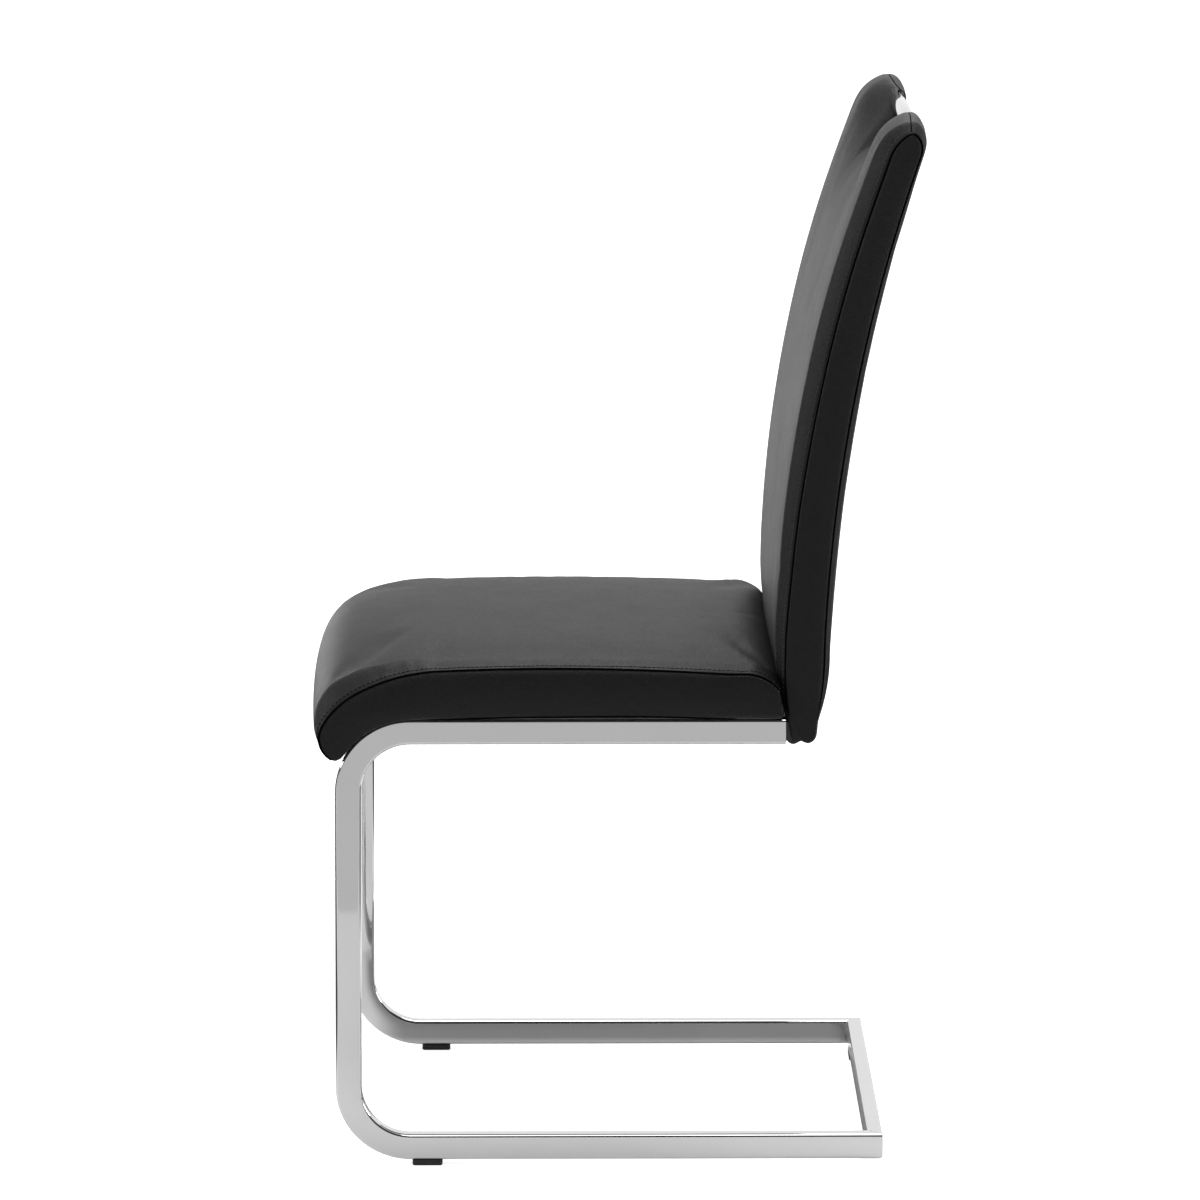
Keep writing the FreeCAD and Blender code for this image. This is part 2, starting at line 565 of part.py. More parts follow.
def build_seat():
    """Board, dust cover, foam, cover panels and fasteners of the seat."""
    full, side = seat_outlines()
    half, edge = SEAT_HALF, size("seat_edge_radius")
    crown = size("seat_crown") / size("seat_edge_rise")
    outer, inner, foam = [cushion(full, side, half, edge, crown, wall) for wall in (0.0, SKIN, SKIN + GAP)]
    lift = GAP + SKIN + GAP
    thickness, board_half = size("board_thickness"), SEAT_HALF - size("board_inset")
    board = bent_band(lift, thickness, SEAT_END - 8, board_half)
    foam = foam.cut(bent_band(0.0, lift + thickness + GAP, SEAT_END + 10, board_half + GAP))

    dust_sheet = bent_band(GAP, SKIN, SEAT_END, half - SKIN - 2 * GAP)
    rim = bent_band(-6.0, 6.0 + GAP + SKIN + GAP, SEAT_END + 11, half - SKIN - GAP)
    pieces, sleeve = split_skin("seat_cover", outer, inner, side, half)
    pieces.append(("seat_cover_top", sleeve.cut(rim)))

    nut_radius, nut_flange = size("bolt_diameter") / 2 + size("nut_wall"), size("nut_collar")
    radius, head = size("bolt_diameter") / 2, size("bolt_head") / 2
    board_top = TUBE_TOP + lift + thickness
    bar_bottom = TUBE_TOP - size("crossbar_height")
    nuts, bolts = [], []
    for x, depth in seat_bolt_places():
        board = board.cut(hexagon(x, depth, TUBE_TOP, nut_radius + GAP, 2 * thickness, UP))
        board = board.cut(hexagon(x, depth, board_top - nut_flange - GAP, head + GAP, thickness, UP))
        dust_sheet = dust_sheet.cut(cylinder(x, depth, TUBE_TOP - 1, radius + GAP, 2 * thickness, UP))
        barrel = hexagon(x, depth, board_top - thickness + GAP, nut_radius, thickness - 2 * GAP, UP)
        flange = hexagon(x, depth, board_top - GAP - nut_flange, head, nut_flange, UP)
        bore = cylinder(x, depth, TUBE_TOP, radius + GAP / 2, 2 * thickness, UP)
        nuts.append(barrel.fuse(flange).cut(bore).removeSplitter())
        shank = cylinder(x, depth, bar_bottom, radius, size("crossbar_height") + lift + thickness - 2, UP)
        bolt_head = hexagon(x, depth, bar_bottom, head, size("bolt_head_height"), DOWN)
        bolts.append(shank.fuse(bolt_head).removeSplitter())
    for label, shape in pieces:
        feature(label, shape)
    feature("seat_foam", foam)
    feature("seat_board", board)
    feature("seat_dust_cover", dust_sheet)
    feature("seat_t_nuts", Part.makeCompound(nuts))
    feature("seat_bolts", Part.makeCompound(bolts))


def build_crossbar(label, place):
    """A hollow bar between the seat tubes, with a hole for each seat bolt; place is its expression."""
    body = doc.addObject("PartDesign::Body", label)
    sketch = new_sketch(body, label + "_section", "YZ_Plane",
                        ("Sizes.leg_front + " + place, "Sizes.seat_tube_top - Sizes.crossbar_height / 2",
                         "0 mm"))
    tube_section(sketch, "crossbar_depth", "crossbar_height")
    pad = body.newObject("PartDesign::Pad", label + "_bar")
    pad.Profile = sketch
    pad.SideType = "Symmetric"
    pad.setExpression("Length", "Sizes.frame_width - 2 * Sizes.tube_width")
    for side in (RIGHT, LEFT):
        hole = new_sketch(body, "%s_hole_%s" % (label, "right" if side == RIGHT else "left"), "XY_Plane",
                          ("%d * Sizes.bolt_spread / 2" % side, "Sizes.leg_front + " + place,
                           "Sizes.seat_tube_top - Sizes.crossbar_height"))
        circle_sketch(hole, size("bolt_diameter") / 2 + GAP, "Sizes.bolt_diameter / 2 + Sizes.gap")
        pocket(body, hole, "Sizes.crossbar_height", True)
    return body


BACK_CENTRE = (TUBE_END - size("back_lap") + size("back_radius"), BACK_TURN)


def back_depth(z, below_face=0.0):
    """Depth of the back's front face at a height, or of a layer that many millimetres under it."""
    radius = size("back_radius") - below_face
    return BACK_CENTRE[0] - math.sqrt(radius ** 2 - (z - BACK_CENTRE[1]) ** 2)


def back_outlines():
    """The back's outline beside the rounded edge and the outline of its side panel, foot first, clockwise."""
    low, top = BACK_BOTTOM, BACK_TOP
    front, rear = TUBE_END, TUBE_END + size("back_foot_depth")
    low_face, high_face, low_rear = low + 74, top - 29, low + 94
    middle = (low_face + high_face) / 2
    mid_rear = (low_rear + high_face) / 2
    shoulder = back_depth(high_face)
    fe, re, te = size("back_edge_front"), size("back_edge_rear"), size("back_edge_top")
    top_depth = shoulder + size("back_depth_top")
    mid_depth = back_depth(mid_rear) + size("back_depth_mid")
    low_depth = back_depth(low_rear) + size("back_depth_low")

    def chain(points):
        """Alternate arcs through a middle point; a None joins its neighbours by a line."""
        edges, start = [], points[0]
        for middle_point, end in zip(points[1::2], points[2::2]):
            edges.append([start, end] if middle_point is None else [start, middle_point, end])
            start = end
        return edges
    full = chain([
        (front, low + 22), (front - 6.5, low + 46), (back_depth(low_face), low_face),
        (back_depth(middle), middle), (shoulder, high_face),
        (shoulder + 13.5, top - 10), (shoulder + 34, top),
        (top_depth - 3.5, top - 8), (top_depth, high_face),
        (mid_depth, mid_rear), (low_depth, low_rear),
        (rear + 7.5, low + 45), (rear + 1, low + 22),
        None, (rear - 0.5, low + 6),
        (rear - 7, low), (front + 13.5, low + 3),
        (front + 6.5, low), (front, low + 5),
        None, (front, low + 22),
    ])
    side = chain([
        (front + 10, low + 25), (back_depth(low + 46) + 0.58 * fe, low + 46),
        (back_depth(low_face + 10) + 0.58 * fe, low_face + 10),
        (back_depth(middle) + fe, middle), (back_depth(high_face - 10) + fe, high_face - 10),
        (shoulder + 19, high_face + 5.5), (shoulder + 35, top - te),
        (top_depth - 7.5, top - te - 5), (top_depth - re + 0.5, high_face - 5),
        (mid_depth - re - 1.5, mid_rear), (low_depth - re, low_rear),
        (rear + 2.5, low + 45), (rear - 2, low + 22),
        None, (rear - 2.5, low + 8),
        (rear - 8, low + 2), (front + 16.5, low + 4),
        (front + 14, low + 5), (front + 12, low + 8),
        None, (front + 10, low + 25),
    ])
    return full, side


def face_band(under_front, thickness, z_low, z_high, half_width):
    """A block between two layers under the back's front face, from one height to another."""
    middle = (z_low + z_high) / 2
    near = [(back_depth(z, under_front), z) for z in (z_low, middle, z_high)]
    far = [(back_depth(z, under_front + thickness), z) for z in (z_high, middle, z_low)]
    outline = [near, [near[-1], far[0]], far, [far[-1], near[0]]]
    return extruded(outline, half_width)


def notch_tools(grow):
    """The finger opening and the dish in front of it, both grown outwards by a distance."""
    half, floor, corner = size("notch_width") / 2 + grow, NOTCH_FLOOR - grow, size("notch_corner")
    radius = corner + grow
    top = BACK_TOP + 40
    reach = size("back_depth_top")
    y = FRONT + back_depth(floor) - reach
    run = half - radius
    points = [(half, floor + radius), (half, top), (-half, top), (-half, floor + radius)]
    edges = [Part.LineSegment(Vector(a[0], y, a[1]), Vector(b[0], y, b[1])).toShape()
             for a, b in zip(points, points[1:])]
    diagonal = radius * (1 - math.sqrt(0.5))
    edges.append(Part.Arc(Vector(-half, y, floor + radius),
                          Vector(-half + diagonal, y, floor + diagonal),
                          Vector(-run, y, floor)).toShape())
    edges.append(Part.LineSegment(Vector(-run, y, floor), Vector(run, y, floor)).toShape())
    edges.append(Part.Arc(Vector(run, y, floor),
                          Vector(half - diagonal, y, floor + diagonal),
                          Vector(half, y, floor + radius)).toShape())
    opening = Part.Face(Part.Wire(edges)).extrude(Vector(0, 3 * reach, 0))
    slope = math.radians(size("scoop_slope"))
    line = Vector(0, math.sin(slope), math.cos(slope))
    out = Vector(0, -math.cos(slope), math.sin(slope))
    lip_depth = back_depth(NOTCH_FLOOR) + size("back_depth_top") - size("notch_lip")
    length = 2 * size("scoop_radius")
    base = Vector(0, FRONT + lip_depth, NOTCH_FLOOR) + out * size("scoop_radius") - line * length
    dish = Part.makeCylinder(size("scoop_radius") + grow, 2 * length, base, line)
    return opening.fuse(dish)


def build_upright():
    """A curved hollow upright with the solid tongue that plugs into the seat tube."""
    body = doc.addObject("PartDesign::Body", "back_upright_right")
    radius = size("back_radius") - size("upright_inset") - size("upright_depth") / 2
    line_radius = "(Sizes.back_radius - Sizes.upright_inset - Sizes.upright_depth / 2)"
    section = new_sketch(body, "upright_section", "XY_Plane",
                         ("(Sizes.frame_width - Sizes.tube_width) / 2",
                          "Sizes.leg_front + Sizes.seat_tube_length - Sizes.back_lap + Sizes.back_radius",
                          "Sizes.seat_tube_top - Sizes.back_foot_drop + Sizes.back_turn_rise"))
    wall = 2 * size("tube_wall")
    plain_rectangle(section, "Sizes.tube_width", "Sizes.upright_depth",
                    (size("tube_width"), size("upright_depth")), "-" + line_radius, -radius)
    plain_rectangle(section, "(Sizes.tube_width - 2 * Sizes.tube_wall)",
                    "(Sizes.upright_depth - 2 * Sizes.tube_wall)",
                    (size("tube_width") - wall, size("upright_depth") - wall), "-" + line_radius, -radius)
    turn = "(Sizes.seat_tube_top - Sizes.back_foot_drop + Sizes.back_turn_rise)"
    rise = "asin((Sizes.back_top - Sizes.upright_drop - %s) / %s)" % (turn, line_radius)
    fall = "asin((Sizes.back_turn_rise - Sizes.upright_foot) / %s)" % line_radius
    bend(body, "upright_tube", section, [rise, fall], True)
    tongue = new_sketch(body, "tongue", "XZ_Plane",
                        ("(Sizes.frame_width - Sizes.tube_width) / 2",
                         "Sizes.seat_tube_top - Sizes.tube_height / 2",
                         "-(Sizes.leg_front + Sizes.seat_tube_length + Sizes.upright_reach)"))
    plain_rectangle(tongue, "Sizes.tongue_width", "Sizes.tongue_height",
                    (size("tongue_width"), size("tongue_height")), "0", 0.0)
    bar = body.newObject("PartDesign::Pad", "tongue_bar")
    bar.Profile = tongue
    bar.setExpression("Length", "Sizes.tongue_length + Sizes.upright_reach")
    screw_hole = new_sketch(body, "tongue_hole", "XY_Plane",
                            ("(Sizes.frame_width - Sizes.tube_width) / 2",
                             "Sizes.leg_front + Sizes.seat_tube_length - Sizes.tongue_screw_place",
                             "Sizes.seat_tube_top - Sizes.tube_height / 2 - Sizes.tongue_height / 2"))
    circle_sketch(screw_hole, size("tongue_screw_diameter") / 2 + GAP / 2,
                  "Sizes.tongue_screw_diameter / 2 + Sizes.gap / 2")
    pocket(body, screw_hole, "Sizes.tongue_height - 2 * Sizes.tube_wall", True)
    return body


def build_back():
    """Foam, cover panels, straps and cross rails of the backrest."""
    full, side = back_outlines()
    half, edge = BACK_HALF, size("back_edge_round")
    outer, inner, foam = [cushion(full, side, half, edge, 0.0, wall).cut(notch_tools(wall))
                          for wall in (0.0, SKIN, SKIN + GAP)]
    low, high = BACK_BOTTOM - 20, BACK_TOP + 30
    ridge = back_depth(BACK_TOP - 29) + 34
    foot_split = TUBE_END + 13.5
    ahead = size("back_depth_mid")
    shoulder, turn = [BACK_TOP - size(drop) for drop in ("seam_shoulder_drop", "seam_turn_drop")]
    front_zone = [
        [(foot_split, low), (TUBE_END - ahead, low)],
        [(TUBE_END - ahead, low), (TUBE_END - ahead, high)],
        [(TUBE_END - ahead, high), (ridge, high)],
        [(ridge, high), (ridge, shoulder)],
        [(ridge, shoulder), (back_depth(turn, size("seam_inset")), turn), (foot_split, low)],
    ]
    front_body = extruded(front_zone, half + 2)
    seam_band = front_body.copy()
    seam_band.translate(Vector(0, GAP, 0))
    pieces, sleeve = split_skin("back_cover", outer, inner, side, half)
    pieces += [("back_cover_front", sleeve.common(front_body)), ("back_cover_rear", sleeve.cut(seam_band))]

    handle_hole = handle_bar(size("handle_diameter") / 2 + GAP, half)
    tongue_hole = [box((hand * TUBE_CENTRE_X - size("tongue_width") / 2 - GAP,
                        hand * TUBE_CENTRE_X + size("tongue_width") / 2 + GAP),
                       (TUBE_END - 10, TUBE_END + size("upright_reach")),
                       (TUBE_TOP - size("tube_height") / 2 - size("tongue_height") / 2 - GAP,
                        TUBE_TOP - size("tube_height") / 2 + size("tongue_height") / 2 + GAP))
                   for hand in (RIGHT, LEFT)]
    for label, shape in pieces:
        if "side" not in label:
            shape = shape.cut(handle_hole)
            for hole in tongue_hole:
                shape = shape.cut(hole)
        feature(label, shape)

    layer = size("upright_inset") + size("upright_depth")
    front_foam = foam.common(face_band(-ahead, ahead + layer - GAP, low, high, half))
    for hand in (RIGHT, LEFT):
        edge_strip = face_band(size("upright_inset") - GAP, ahead, low, high, (half - INNER_SIDE) / 2 + GAP + 2)
        edge_strip.translate(Vector(hand * ((half + INNER_SIDE) / 2 + 2), 0, 0))
        front_foam = front_foam.cut(edge_strip)
    strap_back = layer + size("strap_thickness")
    rear_foam = foam.cut(face_band(-ahead, ahead + strap_back + 2 * GAP, low, high, half))
    rails = [("back_bottom_rail", TUBE_TOP - size("tube_height") / 2, size("bottom_rail_height")),
             ("back_top_rail", BACK_TOP - size("top_rail_drop"), size("rail_height"))]
    rail_inset = size("upright_inset") + (size("upright_depth") - size("rail_depth")) / 2
    for label, place, height in rails:
        feature(label, face_band(rail_inset, size("rail_depth"), place - height / 2, place + height / 2, INNER_SIDE))
        pocket_block = face_band(rail_inset - GAP, ahead, place - height / 2 - GAP, place + height / 2 + GAP,
                                 INNER_SIDE)
        front_foam = front_foam.cut(pocket_block)
    straps = []
    for number in range(int(size("strap_count"))):
        place = BACK_BOTTOM + size("strap_rise") + number * size("strap_pitch")
        reach = size("strap_height") / 2
        straps.append(face_band(layer + GAP, size("strap_thickness"), place - reach, place + reach,
                                INNER_SIDE + size("tube_width")))
    feature("back_webbing", Part.makeCompound(straps))

    ear_low = UPRIGHT_TOP - size("bracket_height") - 6
    for hand in (RIGHT, LEFT):
        start = hand * (INNER_SIDE - size("bracket_thickness") - GAP)
        x_range = (start, hand * (half + 5)) if hand == RIGHT else (hand * (half + 5), start)
        room = box(x_range, (0, size("floor_length") + 100), (ear_low, BACK_TOP + 10))
        front_foam = front_foam.cut(room)
        rear_foam = rear_foam.cut(room)
    for hole in tongue_hole:
        slot = hole.fuse(hole.translated(Vector(0, 0, -size("tongue_height") / 2)))
        front_foam = front_foam.cut(slot)
    feature("back_foam_front", front_foam.cut(handle_hole))
    feature("back_foam_rear", rear_foam.cut(handle_hole))


def handle_bar(radius, half_length):
    """A round bar across the chair on the axis of the grab handle."""
    depth = back_depth(BACK_TOP - 29) + size("back_depth_top") - size("handle_inset")
    return cylinder(-half_length, depth, HANDLE_HEIGHT, radius, 2 * half_length, ACROSS)


def build_handle():
    """The grab handle, its two brackets on the uprights and its two screws."""
    plate = size("bracket_thickness")
    bar_half = INNER_SIDE - plate
    depth = back_depth(BACK_TOP - 29) + size("back_depth_top") - size("handle_inset")
    radius = size("handle_screw_diameter") / 2
    length = size("handle_screw_length")
    bar = handle_bar(size("handle_diameter") / 2, bar_half)
    screws = []
    for hand in (RIGHT, LEFT):
        inward = Vector(-hand, 0, 0)
        bar = bar.cut(cylinder(hand * bar_half, depth, HANDLE_HEIGHT, radius + GAP / 2, length, inward))
        shank = cylinder(hand * INNER_SIDE, depth, HANDLE_HEIGHT, radius, length, inward)
        head = hexagon(hand * INNER_SIDE, depth, HANDLE_HEIGHT, size("handle_screw_head") / 2,
                       size("handle_screw_head_height"), Vector(hand, 0, 0))
        screws.append(shank.fuse(head).removeSplitter())
    feature("grab_handle", bar)
    feature("handle_screws", Part.makeCompound(screws))
    top, low = UPRIGHT_TOP, UPRIGHT_TOP - size("bracket_height")
    layer = size("upright_inset")
    heel = [(back_depth(low, layer + 2), low), (back_depth(top, layer + 2), top)]
    nose_top = (depth - 2, HANDLE_HEIGHT + size("handle_screw_head") / 2)
    nose_low = (depth + size("handle_screw_head") / 2, HANDLE_HEIGHT - 4)
    shin = (back_depth(low, layer + size("upright_depth") - 2), low)
    corners = [heel[0], heel[1], nose_top, nose_low, shin]
    outline = [[a, b] for a, b in zip(corners, corners[1:] + corners[:1])]
    for hand, name in ((RIGHT, "right"), (LEFT, "left")):
        start = INNER_SIDE - plate if hand == RIGHT else -INNER_SIDE
        shape = Part.Face(outline_wire(start, outline)).extrude(ACROSS * plate)
        hole = cylinder(hand * (INNER_SIDE + 1), depth, HANDLE_HEIGHT, radius + GAP / 2,
                        plate + 2, Vector(-hand, 0, 0))
        feature("handle_bracket_" + name, shape.cut(hole))


def build_end_caps_and_screws():
    """Plastic caps on the uprights and the screws that hold the tongues in the seat tubes."""
    outer = size("back_radius") - size("upright_inset")
    middle = outer - size("upright_depth") / 2
    width, wall = size("tube_width"), size("tube_wall")
    end = math.asin((UPRIGHT_TOP - BACK_CENTRE[1]) / middle)
    low, high = end + GAP / middle, end + (GAP + size("cap_height")) / middle
    corners = [(BACK_CENTRE[0] - radius * math.cos(angle), BACK_CENTRE[1] + radius * math.sin(angle))
               for radius, angle in ((outer, low), (outer, high), (2 * middle - outer, high),
                                     (2 * middle - outer, low))]
    outline = [[a, b] for a, b in zip(corners, corners[1:] + corners[:1])]
    caps, screws = [], []
    for hand in (RIGHT, LEFT):
        x = hand * TUBE_CENTRE_X
        caps.append(Part.Face(outline_wire(x - width / 2, outline)).extrude(ACROSS * width))
        place = TUBE_END - size("tongue_screw_place")
        radius = size("tongue_screw_diameter") / 2
        length = size("tube_height") / 2 + size("tongue_height") / 2 - 3 * wall
        screws.append(cylinder(x, place, TUBE_BOTTOM, radius, length, UP))
    feature("upright_end_caps", Part.makeCompound(caps))
    feature("tongue_screws", Part.makeCompound(screws))


side_tube = build_side_tube()
floor_bar = build_floor_bar()
tube_x = "(Sizes.frame_width - Sizes.tube_width) / 2"
front_glide = build_glide("front_glide_right", (tube_x, "Sizes.leg_front + Sizes.glide_place"), False)
rear_glide = build_glide("rear_glide_right",
                         ("Sizes.glide_spread / 2",
                          "Sizes.leg_front + Sizes.floor_length - Sizes.tube_width / 2"), True)
upright = build_upright()
bodies = [side_tube, floor_bar, front_glide, rear_glide, upright,
          *[build_crossbar(label, text) for label, place, text in CROSSBARS]]
twins = [mirrored(source, source.Label[:-len("right")] + "left")
         for source in (side_tube, front_glide, rear_glide, upright)]
build_seat()
build_back()
build_handle()
build_end_caps_and_screws()
doc.recompute()

features = [item for item in doc.Objects if item.TypeId == "Part::Feature"]
os.makedirs("parts", exist_ok=True)
for item in doc.Objects:
    if "Invalid" in item.State or "Error" in item.State:
        raise RuntimeError("%s could not be built" % item.Label)
for piece in bodies + twins + features:
    shape = piece.Shape
    if shape.isNull() or not shape.isValid() or shape.Volume <= 0:
        raise RuntimeError("%s has no sound shape" % piece.Label)
    shape.exportStep("parts/%s.step" % piece.Label)
    print("%-26s %2d solids  %9.0f mm3" % (piece.Label, len(shape.Solids), shape.Volume))
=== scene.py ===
"""Looks of the cantilever chair: chromed flat tube, black padded seat and back in soft-grained imitation leather.

Lengths in the shapes are millimetres: x across, depth from the front face of the legs, height from the floor.
They become metres in the part's frame when a mesh is made.
"""
import bpy
import json
import math
import numpy as np
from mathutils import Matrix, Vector


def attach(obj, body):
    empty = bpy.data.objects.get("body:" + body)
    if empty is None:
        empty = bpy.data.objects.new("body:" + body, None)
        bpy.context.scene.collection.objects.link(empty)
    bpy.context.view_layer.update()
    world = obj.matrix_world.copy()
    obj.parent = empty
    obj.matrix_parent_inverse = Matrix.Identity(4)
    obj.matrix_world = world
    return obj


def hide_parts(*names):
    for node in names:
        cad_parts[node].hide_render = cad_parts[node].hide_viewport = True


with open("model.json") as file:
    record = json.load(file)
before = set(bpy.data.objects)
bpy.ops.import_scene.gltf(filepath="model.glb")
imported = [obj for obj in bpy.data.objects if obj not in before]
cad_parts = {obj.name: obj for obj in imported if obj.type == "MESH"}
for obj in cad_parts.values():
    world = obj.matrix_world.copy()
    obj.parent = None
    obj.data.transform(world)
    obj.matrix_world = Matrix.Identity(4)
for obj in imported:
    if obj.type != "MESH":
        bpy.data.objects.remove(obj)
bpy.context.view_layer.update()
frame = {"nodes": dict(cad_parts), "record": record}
nodes = frame["nodes"]

LEG_FRONT = -267.0  # where the legs' front face stands in the part's frame
TUBE_TOP = 441.0    # height of the seat run's upper face
TUBE_END = 431.0    # depth at which the seat run ends and the back begins
BEND = 72.0         # outer radius of the upper bend
RIGHT, LEFT = 1, -1
scene = bpy.context.scene


# Meshes from grids of points

def grid_faces(rows, columns, wrap_rows=False, wrap_columns=False, first=0):
    """Quads between neighbours of a grid whose points are numbered row by row."""
    row = np.arange(rows if wrap_rows else rows - 1)
    column = np.arange(columns if wrap_columns else columns - 1)
    r, c = np.meshgrid(row, column, indexing="ij")
    r2, c2 = (r + 1) % rows, (c + 1) % columns
    quads = np.stack([r * columns + c, r * columns + c2, r2 * columns + c2, r2 * columns + c], axis=-1)
    return quads.reshape(-1, 4) + first


def welded(points, quads):
    """Points that coincide become one, and quads that lose a corner become triangles; the third result is each
    point's new number."""
    first, number = np.unique(np.round(points, 3), axis=0, return_index=True, return_inverse=True)[1:]
    number = number.reshape(-1)
    a, b, c, d = number[quads].T
    whole = (a != b) & (b != c) & (c != d) & (d != a)
    faces = [np.stack([a, b, c, d], axis=1)[whole]]
    for same, corners in ((a == b, (b, c, d)), (b == c, (c, d, a)), (c == d, (d, a, b)), (d == a, (a, b, c))):
        triangle = np.stack(corners, axis=1)[same & ~whole]
        sound = (triangle != np.roll(triangle, -1, axis=1)).all(axis=1)
        faces.append(triangle[sound])
    return points[first], faces, number


def outward(points, faces):
    """The faces, turned round if the solid that they close has a negative volume."""
    volume = 0.0
    for part in faces:
        for last in range(2, part.shape[1]):
            a, b, c = points[part[:, 0]], points[part[:, last - 1]], points[part[:, last]]
            volume += np.einsum("ij,ij->i", a, np.cross(b, c)).sum()
    return faces if volume > 0 else [part[:, ::-1] for part in faces]


def piece(name, points, faces, *finishes, smooth=True):
    """A mesh object of points in millimetres, placed in the part's frame, riding on the chair's one body."""
    mesh = bpy.data.meshes.new(name)
    placed = (points + np.array([0.0, LEG_FRONT, 0.0])) / 1000
    mesh.from_pydata(placed.tolist(), [], [face for part in faces for face in part.tolist()])
    mesh.update()
    mesh.polygons.foreach_set("use_smooth", np.full(len(mesh.polygons), smooth))
    made = bpy.data.objects.new(name, mesh)
    scene.collection.objects.link(made)
    for material in finishes:
        mesh.materials.append(material)
    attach(made, "root")
    return made


def closed_loft(name, rings, material, ends=True):
    """A skin over closed rings of points. Fans to their middles close the first and the last ring, or, without
    ends, the last ring joins the first."""
    count, around = rings.shape[:2]
    points = rings.reshape(-1, 3)
    quads = grid_faces(count, around, wrap_columns=True, wrap_rows=not ends)
    if ends:
        middles = np.stack([rings[0].mean(axis=0), rings[-1].mean(axis=0)])
        points = np.concatenate([points, middles])
        ring = np.arange(around)
        after = (ring + 1) % around
        low, high = len(points) - 2, len(points) - 1
        last = (count - 1) * around
        fans = [np.stack([np.full(around, low), after, ring, np.full(around, low)], axis=1),
                np.stack([np.full(around, high), last + ring, last + after, np.full(around, high)], axis=1)]
        quads = np.concatenate([quads] + fans)
    points, faces = welded(points, quads)[:2]
    return piece(name, points, outward(points, faces), material)


def rounded_loop(width, height, radius):
    """A rectangle with round corners about the origin: a quarter circle of six points at each corner."""
    turn = np.linspace(0, math.pi / 2, 6)
    corners = []
    for quarter, (x, y) in enumerate(((1, 1), (-1, 1), (-1, -1), (1, -1))):
        angle = turn + quarter * math.pi / 2
        corners.append(np.stack([x * (width / 2 - radius) + radius * np.cos(angle),
                                 y * (height / 2 - radius) + radius * np.sin(angle)], axis=1))
    return np.concatenate(corners)


# Finishes

class Value:
    """A socket's value: an expression on it adds the Math nodes that work it out."""

    def __init__(self, finish, socket):
        self.finish, self.socket = finish, socket

    def math(self, operation, *others):
        """The result of a Math node on this value and others."""
        return self.finish.node("ShaderNodeMath", {"operation": operation}, dict(enumerate((self,) + others)))

    def __add__(self, other):
        return self.math("ADD", other)

    def __mul__(self, other):
        return self.math("MULTIPLY", other)

    def __sub__(self, other):
        return self.math("SUBTRACT", other)

    def __rsub__(self, other):
        return self.finish.node("ShaderNodeMath", {"operation": "SUBTRACT"}, {0: other, 1: self})

    __radd__, __rmul__ = __add__, __mul__

    def between(self, low, high):
        """0 under low, 1 over high, and smooth between them."""
        return self.finish.node("ShaderNodeMapRange", {"interpolation_type": "SMOOTHSTEP"},
                                {"Value": self, "From Min": low, "From Max": high})


class Finish:
    """A material or a world under construction."""

    def __init__(self, owner):
        owner.use_nodes = True
        self.owner, self.tree = owner, owner.node_tree
        self.tree.nodes.clear()

    def node(self, kind, settings=None, inputs=None, output=0):
        """One node: its settings first, then the values or links of its sockets; gives one of its outputs."""
        made = self.tree.nodes.new(kind)
        for key, value in (settings or {}).items():
            setattr(made, key, value)
        for key, value in (inputs or {}).items():
            socket = made.inputs[key]
            if isinstance(value, Value):
                self.tree.links.new(value.socket, socket)
            else:
                socket.default_value = value
        return Value(self, made.outputs[output]) if made.outputs else None

    def axes(self, vector, names):
        """The named coordinates of a vector, each from a Separate node of its own."""
        return [self.node("ShaderNodeSeparateXYZ", None, {0: vector}, axis) for axis in names]

    def mix(self, factor, first, second):
        """A colour between two colours: sockets 0, 6 and 7 of a Mix node are its factor and its two colours."""
        return self.node("ShaderNodeMix", {"data_type": "RGBA"}, {0: factor, 6: first, 7: second}, 2)

    def noise(self, place, scale, detail=2.0, roughness=0.5):
        """A cloudy pattern; scale is in cells to the metre."""
        return self.node("ShaderNodeTexNoise", None,
                         {"Vector": place, "Scale": scale, "Detail": detail, "Roughness": roughness}, "Fac")

    def bump(self, height, strength, distance):
        """Relief from a pattern; distance is its depth in metres."""
        return self.node("ShaderNodeBump", None, {"Height": height, "Strength": strength, "Distance": distance})

    def surface(self, **sockets):
        """The Principled shader; socket names have underscores for spaces."""
        shader = self.node("ShaderNodeBsdfPrincipled", None,
                           {key.replace("_", " "): value for key, value in sockets.items()})
        self.node("ShaderNodeOutputMaterial", None, {"Surface": shader})
        return self.owner


def new_finish(name):
    """A material with an empty node tree, and the coordinates that its patterns read."""
    made = Finish(bpy.data.materials.new(name))
    return made, made.node("ShaderNodeTexCoord", output="Object")


def grey(level, tint=(1.0, 1.0, 1.0)):
    """A grey as a colour, with a slight tint."""
    return (level * tint[0], level * tint[1], level * tint[2], 1.0)


def darker(color, share):
    """The same colour at a share of its brightness."""
    return tuple(share * channel for channel in color[:3]) + (1.0,)


